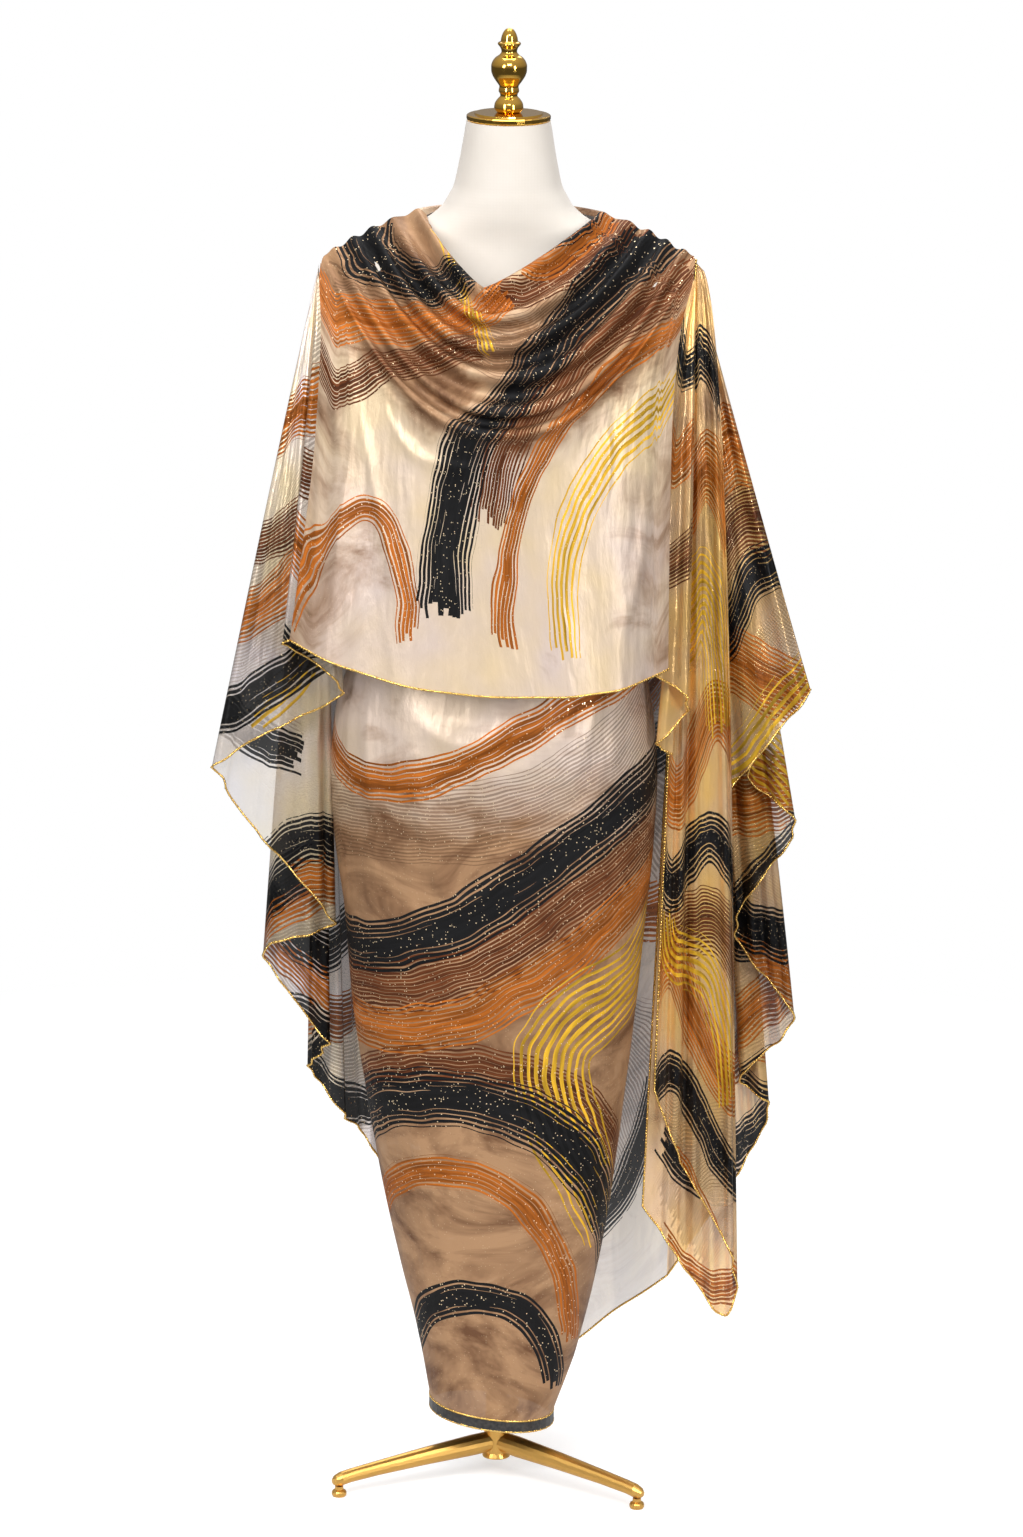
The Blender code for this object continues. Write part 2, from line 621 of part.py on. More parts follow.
def drape(holder, form_tree):
    front = front_grid(2, FRONT_ACROSS)
    boundary = 2 * (len(COWL))
    left_edge, right_edge = front[boundary:, 0], front[boundary:, -1]

    left_places = pleat_places(len(LEFT_HEM) - 1)
    left = fall_grid(LEFT_HEM, LEFT_TOP, left_places, FALL_ROWS, LEFT_CREST)
    left = following(left, left_edge, left_places)
    turn_places = pleat_places(len(RIGHT_TURN_HEM) - 1)
    turn = fall_grid(RIGHT_TURN_HEM, RIGHT_TURN_TOP, turn_places, FALL_ROWS)
    turn = following(turn, right_edge, turn_places)
    right = fall_grid(RIGHT_HEM, RIGHT_TOP, pleat_places(len(RIGHT_HEM) - 1), FALL_ROWS)
    loose = fall_grid(LOOSE_END_HEM, LOOSE_END_TOP, pleat_places(len(LOOSE_END_HEM) - 1), FALL_ROWS + 1)
    back = back_grid(front, left[:, -1], right[:, -1], 2, BACK_ACROSS)

    grids = {"front_drape": front, "left_fall": left[:, ::-1], "right_turn": turn, "right_fall": right,
             "right_loose_end": loose, "back_drape": back}
    grids = {node: kept_off(grid, form_tree) for node, grid in grids.items()}
    normals = {node: normals_of(grid, False) for node, grid in grids.items()}
    for one, end, other, start in SEAMS:
        a, b = normals[one], normals[other]
        shared = share_seam(a[:, end], grids[one][:, end], b[:, start], grids[other][:, start])
        a[:, end], b[:, start] = shared
    for node, end in sorted({pair for seam in SEAMS for pair in (seam[:2], seam[2:])}):
        grids[node] = drawn_in(grids[node], end, SEAM / 2)
    for node, grid in grids.items():
        points, faces = wall_mesh(grid, normals[node])
        add_piece(node, points, faces, "print_cloth", holder)


def stand_centred(holder):
    """Moves the whole object so that its box stands on the origin."""
    bpy.context.view_layer.update()
    corners = np.array([piece.matrix_world @ Vector(corner)
                        for piece in holder.children for corner in piece.bound_box])
    low, high = corners.min(axis=0), corners.max(axis=0)
    holder.location = (-(low[0] + high[0]) / 2, -(low[1] + high[1]) / 2, -low[2])


def main():
    clear_scene()
    holder = bpy.data.objects.new("toub_on_form", None)
    bpy.context.collection.objects.link(holder)
    form_tree = form_torso(holder)
    stand(holder)
    skirt(holder, form_tree)
    drape(holder, form_tree)
    stand_centred(holder)


main()
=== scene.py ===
import math

import bpy
import numpy as np
from mathutils import Matrix, Vector
from mathutils.bvhtree import BVHTree


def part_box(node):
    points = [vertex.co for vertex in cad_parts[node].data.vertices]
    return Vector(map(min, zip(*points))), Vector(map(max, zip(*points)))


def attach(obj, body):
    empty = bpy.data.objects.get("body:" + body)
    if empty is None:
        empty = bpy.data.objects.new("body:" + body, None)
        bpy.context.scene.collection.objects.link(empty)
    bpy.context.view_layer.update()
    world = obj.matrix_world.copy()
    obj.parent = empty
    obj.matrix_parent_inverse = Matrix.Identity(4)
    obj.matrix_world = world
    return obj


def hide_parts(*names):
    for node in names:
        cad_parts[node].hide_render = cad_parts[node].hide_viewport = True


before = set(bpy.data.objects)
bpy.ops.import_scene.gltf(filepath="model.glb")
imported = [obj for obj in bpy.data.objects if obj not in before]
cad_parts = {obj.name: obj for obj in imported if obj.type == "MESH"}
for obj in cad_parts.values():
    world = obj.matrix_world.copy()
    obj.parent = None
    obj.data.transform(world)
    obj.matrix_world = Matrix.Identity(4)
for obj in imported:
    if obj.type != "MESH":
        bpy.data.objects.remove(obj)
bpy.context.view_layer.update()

# A toub on a dress form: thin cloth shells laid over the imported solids, with their folds, print
# and beaded edges, the smooth padded form and the gold stand. Metres. Places are measured from
# the form's upright axis until a piece is made, and then moved to where the frame has that axis.
CAP_LOW, CAP_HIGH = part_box("form_neck_cap")
AXIS = np.array([(CAP_LOW[0] + CAP_HIGH[0]) / 2, (CAP_LOW[1] + CAP_HIGH[1]) / 2, 0.0])

# The camera, from the photograph: its place, its tilt and roll in degrees, its focal length and
# the image's height in pixels, and the sensor's height and the far limit of its view
CAMERA_AT = (0.0102, -7.8, 2.74)
CAMERA_DOWN = 13.62
CAMERA_ROLL = 0.5527
FOCAL_PIXELS = 7018.0
IMAGE_HEIGHT = 1537.0
SENSOR = 36.0
CAMERA_REACH = 60.0

# The form: height, half width, front and back of each level section
FORM = (
    (0.640, 0.118, -0.084, 0.080), (0.650, 0.142, -0.100, 0.092), (0.675, 0.156, -0.109, 0.098),
    (0.740, 0.165, -0.116, 0.104), (0.840, 0.173, -0.121, 0.110), (0.930, 0.164, -0.116, 0.108),
    (1.000, 0.143, -0.107, 0.099), (1.060, 0.125, -0.099, 0.092), (1.095, 0.120, -0.098, 0.091),
    (1.150, 0.125, -0.103, 0.093), (1.210, 0.138, -0.117, 0.099), (1.270, 0.149, -0.126, 0.104),
    (1.320, 0.157, -0.117, 0.108), (1.370, 0.172, -0.099, 0.098), (1.400, 0.188, -0.081, 0.082),
    (1.418, 0.194, -0.067, 0.069), (1.432, 0.187, -0.056, 0.061), (1.446, 0.168, -0.049, 0.057),
    (1.461, 0.139, -0.046, 0.056), (1.475, 0.109, -0.048, 0.059), (1.488, 0.086, -0.051, 0.057),
    (1.500, 0.073, -0.052, 0.055), (1.522, 0.061, -0.051, 0.052), (1.555, 0.054, -0.049, 0.049),
    (1.596, 0.0472, -0.0466, 0.0466),
)
SQUARENESS = 2.1
OFF_FORM = 0.0016
REACH_OF_FORM = 0.05

# The wrapped skirt: height, left, right, front and back of each level section
SKIRT = (
    (0.092, -0.078, 0.066, -0.072, 0.060), (0.165, -0.092, 0.091, -0.086, 0.075),
    (0.260, -0.115, 0.113, -0.101, 0.089), (0.345, -0.134, 0.128, -0.112, 0.098),
    (0.430, -0.150, 0.139, -0.120, 0.105), (0.565, -0.170, 0.154, -0.129, 0.113),
    (0.680, -0.180, 0.165, -0.134, 0.118), (0.780, -0.193, 0.174, -0.137, 0.122),
    (0.850, -0.196, 0.177, -0.138, 0.124), (0.910, -0.192, 0.173, -0.136, 0.122),
    (0.970, -0.176, 0.162, -0.128, 0.115), (1.040, -0.146, 0.140, -0.113, 0.103),
    (1.110, -0.123, 0.123, -0.101, 0.094),
)
HEM_LEAN = np.array([-0.125, 0.030])
HEM_BAND = 0.012
SEAM = 0.0012

# The cowled front: left end x y z, lowest point x y z, right end x y z, roundness of the bow
COWL = (
    (-0.091, 0.008, 1.487, -0.026, -0.106, 1.402, 0.097, 0.008, 1.487, 1.10),
    (-0.102, 0.008, 1.498, -0.026, -0.121, 1.422, 0.107, 0.008, 1.496, 1.15),
    (-0.114, 0.008, 1.483, -0.022, -0.127, 1.402, 0.121, 0.008, 1.482, 1.45),
    (-0.131, 0.008, 1.487, -0.018, -0.143, 1.396, 0.138, 0.008, 1.486, 1.70),
    (-0.142, 0.008, 1.471, -0.014, -0.136, 1.378, 0.149, 0.008, 1.469, 1.85),
    (-0.154, 0.008, 1.477, -0.018, -0.153, 1.366, 0.160, 0.008, 1.477, 2.00),
    (-0.164, 0.008, 1.459, -0.010, -0.145, 1.348, 0.170, 0.008, 1.459, 2.05),
    (-0.175, 0.008, 1.466, 0.000, -0.162, 1.334, 0.180, 0.008, 1.466, 2.10),
    (-0.185, 0.008, 1.448, 0.000, -0.154, 1.313, 0.189, 0.008, 1.448, 2.10),
    (-0.195, 0.008, 1.452, 0.000, -0.168, 1.296, 0.199, 0.008, 1.454, 2.10),
    (-0.202, 0.008, 1.441, -0.002, -0.162, 1.282, 0.206, 0.008, 1.443, 2.10),
    (-0.208, 0.008, 1.440, -0.004, -0.171, 1.270, 0.212, 0.008, 1.444, 2.10),
)
APRON = (
    (-0.2110, -0.014, 1.418, -0.003, -0.164, 1.250, 0.2090, -0.014, 1.420, 2.20),
    (-0.2080, -0.052, 1.360, 0.000, -0.159, 1.215, 0.1940, -0.052, 1.362, 2.30),
    (-0.2130, -0.080, 1.250, 0.005, -0.157, 1.140, 0.1860, -0.082, 1.250, 2.40),
    (-0.2270, -0.095, 1.125, 0.015, -0.159, 1.058, 0.1850, -0.094, 1.115, 2.40),
    (-0.2405, -0.103, 1.021, 0.030, -0.165, 0.972, 0.1855, -0.100, 0.991, 2.40),
)
FRONT_REACH = 2.5
ROLL_HEIGHT = 0.0052
FRONT_EVEN = 0.35
FRONT_HALF_WIDTH = 0.30
SHOULDER_SMOOTHING = 40

# Soft folds: the ridge's place at the top and the hem, half width, depth, how far down it starts
APRON_FOLDS = (
    (-0.84, -0.86, 0.11, 0.012, 0.00), (-0.60, -0.50, 0.13, 0.007, 0.15),
    (-0.20, -0.16, 0.14, 0.004, 0.40), (0.30, 0.28, 0.14, 0.004, 0.45),
    (0.74, 0.66, 0.14, 0.010, 0.05),
)
BACK_FOLDS = (
    (-0.70, -0.62, 0.16, 0.016, 0.00), (-0.22, -0.20, 0.16, 0.014, 0.05),
    (0.20, 0.24, 0.16, 0.016, 0.00), (0.66, 0.66, 0.16, 0.014, 0.10),
)
FOLD_GROWTH = 0.7

# Creases, each along a smooth curve: x and z of its start, middle and end, half width, height
FRONT_CREASES = (
    (-0.208, 1.344, -0.210, 1.193, -0.217, 1.035, 0.006, 0.0050),
    (-0.201, 1.343, -0.191, 1.284, -0.184, 1.227, 0.006, 0.0035),
    (-0.161, 1.276, -0.143, 1.194, -0.107, 1.029, 0.006, 0.0042),
    (-0.141, 1.315, -0.117, 1.262, -0.077, 1.228, 0.006, 0.0022),
    (-0.103, 1.236, -0.094, 1.126, -0.079, 1.015, 0.005, 0.0032),
    (-0.076, 1.204, -0.081, 1.143, -0.082, 1.084, 0.005, 0.0024),
    (-0.062, 1.159, -0.064, 1.092, -0.063, 1.030, 0.005, 0.0022),
    (0.157, 1.238, 0.151, 1.129, 0.130, 1.032, 0.007, 0.0050),
    (-0.168, 1.083, -0.171, 1.057, -0.175, 1.028, 0.006, 0.0040),
    (0.090, 1.179, 0.079, 1.139, 0.051, 1.105, 0.006, 0.0026),
    (-0.176, 1.396, -0.162, 1.351, -0.131, 1.306, 0.006, 0.0040),
    (-0.117, 1.262, -0.061, 1.232, 0.060, 1.240, 0.007, 0.0030),
    (0.110, 1.275, 0.116, 1.230, 0.106, 1.174, 0.006, 0.0030),
    (-0.178, 1.216, -0.185, 1.148, -0.194, 1.080, 0.007, 0.0036),
    (-0.027, 1.127, -0.029, 1.070, -0.024, 1.013, 0.006, 0.0016),
    (0.062, 1.082, 0.070, 1.048, 0.080, 1.002, 0.006, 0.0022),
)
SKIRT_CREASES = (
    (-0.101, 0.946, -0.039, 0.908, 0.033, 0.951, 0.008, 0.0065),
    (-0.068, 0.935, -0.048, 0.929, -0.028, 0.937, 0.005, 0.0030),
    (0.079, 0.958, -0.035, 0.722, -0.105, 0.936, 0.009, 0.0080),
    (0.074, 0.948, 0.025, 0.885, -0.022, 0.871, 0.007, 0.0050),
    (-0.168, 0.946, -0.173, 0.901, -0.169, 0.855, 0.007, 0.0045),
    (-0.147, 0.959, -0.153, 0.890, -0.146, 0.820, 0.008, 0.0045),
    (0.109, 0.961, 0.092, 0.915, 0.076, 0.846, 0.008, 0.0045),
    (0.150, 0.955, 0.060, 0.800, -0.060, 0.790, 0.009, 0.0035),
    (-0.171, 0.727, -0.091, 0.692, -0.034, 0.599, 0.012, 0.0030),
    (0.134, 0.730, 0.067, 0.659, 0.001, 0.517, 0.012, 0.0032),
    (-0.136, 0.492, -0.078, 0.397, -0.066, 0.266, 0.010, 0.0026),
    (0.115, 0.435, 0.071, 0.351, 0.026, 0.219, 0.010, 0.0026),
)

# The hem of each fall, turn by turn: x, y, z and how soon the cloth above has spread
LEFT_HEM = (
    (-0.2405, -0.103, 1.021, 1.0), (-0.2480, -0.093, 1.014, 1.0), (-0.1830, -0.072, 0.955, 0.7),
    (-0.3220, -0.045, 0.853, 1.0), (-0.1920, -0.018, 0.672, 0.8), (-0.2750, 0.008, 0.630, 0.9),
    (-0.2000, 0.035, 0.508, 0.9), (-0.2240, 0.060, 0.478, 1.0), (-0.1720, 0.095, 0.400, 1.0),
    (-0.1100, 0.132, 0.300, 1.0),
)
RIGHT_TURN_HEM = (
    (0.1855, -0.100, 0.991, 1.0), (0.1660, -0.089, 0.984, 0.9), (0.2120, -0.073, 0.946, 0.5),
    (0.1770, -0.057, 0.893, 0.9), (0.1930, -0.048, 0.880, 0.9),
)
RIGHT_HEM = (
    (0.2180, 0.002, 0.772, 0.9), (0.3530, 0.012, 0.944, 1.0), (0.2800, 0.030, 0.842, 1.0),
    (0.3390, 0.048, 0.772, 0.9), (0.2710, 0.066, 0.650, 0.9), (0.3390, 0.084, 0.534, 0.8),
    (0.2820, 0.101, 0.455, 0.9), (0.3190, 0.116, 0.414, 0.9), (0.2460, 0.130, 0.275, 1.0),
    (0.2000, 0.140, 0.200, 1.0),
)
LOOSE_END_HEM = (
    (0.1780, -0.0440, 0.482, 0.70), (0.2080, -0.0380, 0.400, 0.70), (0.2780, -0.0300, 0.256, 0.40),
    (0.2620, -0.0230, 0.203, 0.45), (0.1670, -0.0140, 0.333, 0.90),
)
# The gathered top of each fall: x, first and last y, first and last z
LEFT_TOP = (-0.2125, -0.014, 0.040, 1.417, 1.411)
RIGHT_TURN_TOP = (0.2120, -0.014, -0.005, 1.419, 1.426)
LOOSE_END_TOP = (0.2125, 0.000, 0.013, 1.4335, 1.4376)
RIGHT_TOP = (0.2120, 0.019, 0.046, 1.425, 1.407)
LEFT_CREST = 0.015
TURN_ROUNDNESS = 4.0
FALL_DEPTH_EASE = 0.45
FLUTE_HEIGHT = 0.0052

# The back, neck to hem: the row, its lowest point x y z, and how round its bow is
BACK_MIDDLE = (
    (0.0, 0.000, 0.072, 1.486, 2.0), (1.0, 0.000, 0.075, 1.492, 2.0),
    (3.0, 0.000, 0.090, 1.468, 2.0), (6.0, 0.000, 0.108, 1.425, 2.0),
    (9.0, 0.000, 0.120, 1.380, 2.0), (11.0, 0.000, 0.127, 1.340, 2.0),
    (12.0, 0.000, 0.130, 1.300, 2.0), (14.0, 0.002, 0.136, 1.050, 1.8),
    (16.0, 0.005, 0.142, 0.700, 1.5), (18.0, 0.010, 0.150, 0.330, 1.2),
    (20.0, 0.014, 0.155, 0.052, 1.05),
)
BACK_EVEN = 0.45

# The turned knob on the neck: height and radius down its outer side, and its tip
FINIAL = (
    (1.6985, 0.0040), (1.6960, 0.0062), (1.6925, 0.0080), (1.6880, 0.0093), (1.6848, 0.0098),
    (1.6836, 0.0124), (1.6822, 0.0130), (1.6806, 0.0122), (1.6775, 0.0098), (1.6735, 0.0087),
    (1.6700, 0.0108), (1.6665, 0.0156), (1.6620, 0.0188), (1.6575, 0.0201), (1.6520, 0.0200),
    (1.6465, 0.0184), (1.6400, 0.0144), (1.6342, 0.0107), (1.6315, 0.0112), (1.6290, 0.0115),
    (1.6262, 0.0100), (1.6238, 0.0096), (1.6200, 0.0128), (1.6150, 0.0158), (1.6105, 0.0164),
    (1.6075, 0.0150), (1.6053, 0.0132),
)
FINIAL_TIP = 1.700
FINIAL_ROWS, FINIAL_AROUND = 140, 56

# Fineness of the meshes
FRONT_ACROSS = 150
ROWS_EACH = 10
BACK_ROWS_BELOW = 60
RUN_STEPS = 24
FALL_ROWS = 130
LOOSE_ROWS = 140
SKIRT_AROUND = 160
SKIRT_ROWS = 130
TORSO_AROUND = 96
TORSO_ROWS = 150
BAND_STEPS = 120
CREASE_STEPS = 40
SHARP_EDGE = math.radians(60)

# The edges: a rolled edge of so many sides and steps with beads sewn along it
ROLL_RADIUS = 0.0011
ROLL_STEP = 0.006
ROLL_SIDES = 6
BEAD_RADIUS = 0.0015
BEAD_PITCH = 0.0036
BEAD_TILTS = (-0.9, 0.0, 0.9)
BEAD_UNEVEN = 0.10

# Relief in the cloth's shape: how much of a crease's height is used, the front's uneven waves
# (least and most count, share), and the falls' flutes (width, share)
CREASE_SHARE = 0.8
FRONT_SEED = 11
FRONT_RIPPLES = ((2, 5, 0.5), (3, 7, 0.3), (6, 11, 0.2))
RIPPLE_HEIGHT = 0.0018
FLUTES = ((0.075, 0.9), (0.046, 0.7), (0.031, 0.4))
# Seams of the form's cover: their depth, the neck seam's height, how it rises to the sides and
# falls towards the back, and how wide and deep the seams are
SEAM_DEPTH = 0.0007
NECK_SEAM, NECK_SEAM_RISE, NECK_SEAM_FALL = 1.513, 0.9, 0.10
NECK_SEAM_HALF, CENTRE_SEAM_HALF, CENTRE_SEAM_SHARE = 0.0012, 0.0011, 0.6
# The order of a face's corners that turns it to look the other way
TURNED = [0, 3, 2, 1]

# Inks of the print and the grounds that it lies on
BLACK = (0.006, 0.006, 0.007, 1.0)
WORN_BLACK = (0.05, 0.045, 0.04, 1.0)
COPPER = (0.54, 0.150, 0.016, 1.0)
RUST = (0.17, 0.048, 0.014, 1.0)
GOLD_INK = (0.90, 0.52, 0.035, 1.0)
CHAMPAGNE = (0.93, 0.76, 0.49, 1.0)
SAND = (0.73, 0.57, 0.37, 1.0)
MAUVE = (0.67, 0.55, 0.49, 1.0)
PALE = (0.61, 0.48, 0.345, 1.0)
LILAC = (0.84, 0.76, 0.77, 1.0)
CARAMEL = (0.85, 0.58, 0.36, 1.0)
TAN = (0.42, 0.245, 0.130, 1.0)
BRONZE = (0.95, 0.60, 0.20, 1.0)
UMBER = (0.15, 0.070, 0.034, 1.0)
GLITTER = (1.0, 0.80, 0.52, 1.0)
# The form's linen, its threads in radians a metre, and the metals
LINENS = ((0.615, 0.565, 0.505, 1.0), (0.655, 0.61, 0.555, 1.0))
THREADS = 1800.0
POLISHED = (0.80, 0.47, 0.09, 1.0)
SATIN = (0.77, 0.45, 0.12, 1.0)
EDGE_GOLD = (0.86, 0.56, 0.16, 1.0)
INKS = {"umber": UMBER, "rust": RUST, "copper": COPPER, "gold": GOLD_INK, "black": BLACK}

# Each look of the cloth: its share of bright metal, how much light it lets through, its
# roughness, and the ground and shade colours
LOOKS = {
    "front_look": (0.26, 0.03, 0.42, SAND, MAUVE),
    "fall_look": (0.42, 0.05, 0.28, CHAMPAGNE, LILAC),
    "bronze_look": (0.54, 0.04, 0.25, BRONZE, CARAMEL),
    "back_look": (0.42, 0.08, 0.36, SAND, MAUVE),
    "skirt_look": (0.28, 0.03, 0.42, PALE, MAUVE),
}
# Heights of the cloth's fine relief: crumpling, crushing, weave and ink
CRUMPLE, CRUSH, WEAVE, INK_RELIEF = 0.0054, 0.0010, 0.00005, 0.00006
# Glitter: grains a metre, their size in the cell and the least pick that shines
GRAINS, GRAIN_SIZE, GRAIN_PICK = 400.0, 0.27, 0.82
# Open cloth: the light it lets through, how much dimmer it is, and how far ink closes it
OPEN_LIGHT, OPEN_DIM, INK_CLOSES = 0.46, 0.28, 0.88

# The soft boxes: name, place, width and height, and watts. All are aimed at one point
LIGHTS = (
    ("key_box", (-2.4, -3.6, 2.9), (0.85, 2.6), 142.0),
    ("fill_box", (2.7, -3.3, 2.2), (0.7, 2.6), 98.0),
    ("front_box", (0.2, -4.0, 4.6), (1.8, 0.6), 84.0),
    ("top_box", (0.0, 0.2, 4.0), (2.2, 1.2), 45.0),
    ("back_box", (0.4, 3.0, 3.7), (2.2, 1.6), 40.0),
)
LIGHT_AIM = (0.0, 0.0, 0.95)
FLOOR_REACH = 14.0

# The print, band by band, in metres of the cloth: ink, half width, then four points u, v that
# its middle line passes through. The same ink's bands stay clear of each other.
FRONT_PRINT = (
    ("umber", 0.060, -0.30, 0.12, -0.12, 0.12, 0.06, 0.15, 0.31, 0.06),
    ("black", 0.041, 0.31, 0.08, 0.14, 0.14, -0.03, 0.29, -0.10, 0.53),
    ("black", 0.036, -0.32, 0.06, -0.22, 0.10, -0.13, 0.05, -0.04, 0.00),
    ("black", 0.018, 0.31, -0.01, 0.22, 0.01, 0.13, 0.00, 0.06, -0.02),
    ("copper", 0.019, 0.31, 0.21, 0.17, 0.25, 0.04, 0.37, -0.02, 0.56),
    ("copper", 0.034, -0.32, 0.18, -0.21, 0.18, -0.11, 0.12, 0.06, 0.05),
    ("copper", 0.020, 0.09, 0.01, 0.16, 0.04, 0.23, 0.03, 0.31, 0.02),
    ("copper", 0.016, -0.31, 0.57, -0.26, 0.43, -0.19, 0.42, -0.15, 0.56),
    ("gold", 0.034, 0.31, 0.29, 0.23, 0.32, 0.13, 0.41, 0.09, 0.58),
    ("gold", 0.022, -0.24, 0.00, -0.16, 0.01, -0.08, 0.06, 0.00, 0.16),
    ("rust", 0.034, 0.31, 0.15, 0.17, 0.19, 0.05, 0.27, -0.03, 0.42),
    ("rust", 0.024, -0.32, 0.25, -0.22, 0.26, -0.12, 0.19, -0.02, 0.15),
    ("rust", 0.030, 0.00, 0.02, 0.08, 0.06, 0.18, 0.06, 0.31, 0.05),
)
LEFT_PRINT = (
    ("umber", 0.090, -0.06, 0.06, 0.10, 0.24, 0.22, 0.36, 0.48, 0.46),
    ("umber", 0.080, 0.40, 0.92, 0.60, 0.80, 0.84, 0.94, 1.10, 0.88),
    ("copper", 0.036, -0.06, 0.10, 0.10, 0.17, 0.22, 0.16, 0.42, 0.28),
    ("copper", 0.032, -0.06, 0.36, 0.10, 0.30, 0.24, 0.38, 0.42, 0.42),
    ("copper", 0.028, 0.36, 0.80, 0.56, 0.72, 0.80, 0.86, 1.10, 0.82),
    ("black", 0.026, -0.04, 0.45, 0.12, 0.42, 0.24, 0.49, 0.46, 0.56),
    ("black", 0.030, 0.36, 0.75, 0.54, 0.67, 0.74, 0.79, 1.08, 0.72),
    ("black", 0.026, 0.62, 0.95, 0.76, 0.89, 0.92, 0.99, 1.10, 0.95),
    ("rust", 0.028, -0.06, 0.23, 0.08, 0.24, 0.20, 0.29, 0.40, 0.34),
    ("gold", 0.026, 0.10, 0.12, 0.17, 0.25, 0.15, 0.38, 0.25, 0.52),
)
TURN_PRINT = (
    ("umber", 0.060, -0.02, 0.10, 0.04, 0.20, 0.10, 0.30, 0.14, 0.46),
    ("black", 0.024, -0.02, 0.05, 0.05, 0.11, 0.11, 0.10, 0.20, 0.17),
    ("copper", 0.030, -0.02, 0.17, 0.05, 0.21, 0.12, 0.18, 0.20, 0.25),
    ("rust", 0.028, -0.02, 0.30, 0.05, 0.33, 0.12, 0.30, 0.20, 0.36),
)
LOOSE_PRINT = (
    ("umber", 0.070, -0.04, 0.16, 0.06, 0.30, 0.16, 0.36, 0.26, 0.44),
    ("umber", 0.080, -0.04, 0.94, 0.08, 1.02, 0.20, 1.00, 0.40, 1.14),
    ("black", 0.034, -0.04, 0.05, 0.06, 0.12, 0.15, 0.10, 0.26, 0.17),
    ("black", 0.032, -0.04, 0.64, 0.06, 0.71, 0.16, 0.66, 0.32, 0.80),
    ("black", 0.026, -0.04, 1.00, 0.10, 0.95, 0.22, 1.06, 0.44, 1.02),
    ("copper", 0.045, -0.04, 0.20, 0.08, 0.27, 0.16, 0.23, 0.28, 0.33),
    ("copper", 0.040, -0.04, 0.55, 0.08, 0.60, 0.17, 0.52, 0.30, 0.60),
    ("copper", 0.038, -0.04, 0.86, 0.08, 0.82, 0.20, 0.94, 0.40, 0.90),
    ("copper", 0.024, 0.00, 1.14, 0.10, 1.06, 0.22, 1.18, 0.44, 1.14),
    ("gold", 0.066, -0.06, 0.30, 0.05, 0.42, 0.15, 0.38, 0.22, 0.54),
    ("gold", 0.040, 0.02, 0.74, 0.07, 0.80, 0.16, 0.82, 0.22, 0.98),
    ("rust", 0.040, -0.04, 0.76, 0.08, 0.77, 0.18, 0.76, 0.30, 0.88),
)
RIGHT_PRINT = (
    ("umber", 0.090, -0.04, 0.05, 0.08, 0.22, 0.18, 0.36, 0.40, 0.50),
    ("umber", 0.080, 0.30, 0.84, 0.56, 0.74, 0.84, 0.86, 1.12, 0.80),
    ("copper", 0.050, -0.04, 0.12, 0.08, 0.22, 0.16, 0.20, 0.32, 0.28),
    ("copper", 0.044, 0.00, 0.50, 0.14, 0.47, 0.40, 0.60, 0.76, 0.56),
    ("copper", 0.034, 0.30, 0.88, 0.64, 0.82, 0.90, 0.92, 1.12, 0.90),
    ("copper", 0.030, 0.60, 1.10, 0.80, 1.04, 0.96, 1.14, 1.12, 1.10),
    ("black", 0.030, -0.04, 0.38, 0.08, 0.42, 0.18, 0.35, 0.40, 0.45),
    ("black", 0.034, 0.10, 0.68, 0.40, 0.66, 0.66, 0.78, 1.00, 0.72),
    ("black", 0.030, 0.50, 1.00, 0.76, 0.95, 0.95, 1.04, 1.12, 1.02),
    ("rust", 0.044, -0.04, 0.28, 0.06, 0.33, 0.16, 0.29, 0.36, 0.37),
    ("gold", 0.050, 0.02, 0.56, 0.12, 0.57, 0.24, 0.50, 0.46, 0.62),
)
BACK_PRINT = (
    ("umber", 0.090, -0.31, 0.20, -0.10, 0.34, 0.10, 0.22, 0.31, 0.32),
    ("umber", 0.090, -0.31, 0.66, -0.10, 0.78, 0.10, 0.70, 0.31, 0.86),
    ("umber", 0.080, -0.28, 1.10, -0.08, 1.16, 0.12, 1.06, 0.28, 1.24),
    ("black", 0.034, -0.31, 0.30, -0.10, 0.26, 0.08, 0.42, 0.31, 0.46),
    ("black", 0.032, -0.31, 0.84, -0.08, 0.90, 0.10, 0.76, 0.31, 0.74),
    ("black", 0.030, -0.24, 1.24, -0.06, 1.16, 0.12, 1.26, 0.28, 1.12),
    ("copper", 0.034, -0.31, 0.12, -0.12, 0.16, 0.08, 0.08, 0.31, 0.14),
    ("copper", 0.034, -0.31, 0.52, -0.10, 0.50, 0.10, 0.62, 0.31, 0.60),
    ("copper", 0.034, -0.28, 1.02, -0.08, 1.04, 0.12, 0.92, 0.31, 0.96),
    ("gold", 0.046, -0.26, 0.66, -0.10, 0.72, 0.04, 0.66, 0.14, 0.56),
    ("rust", 0.034, -0.31, 0.42, -0.10, 0.38, 0.10, 0.52, 0.31, 0.54),
)
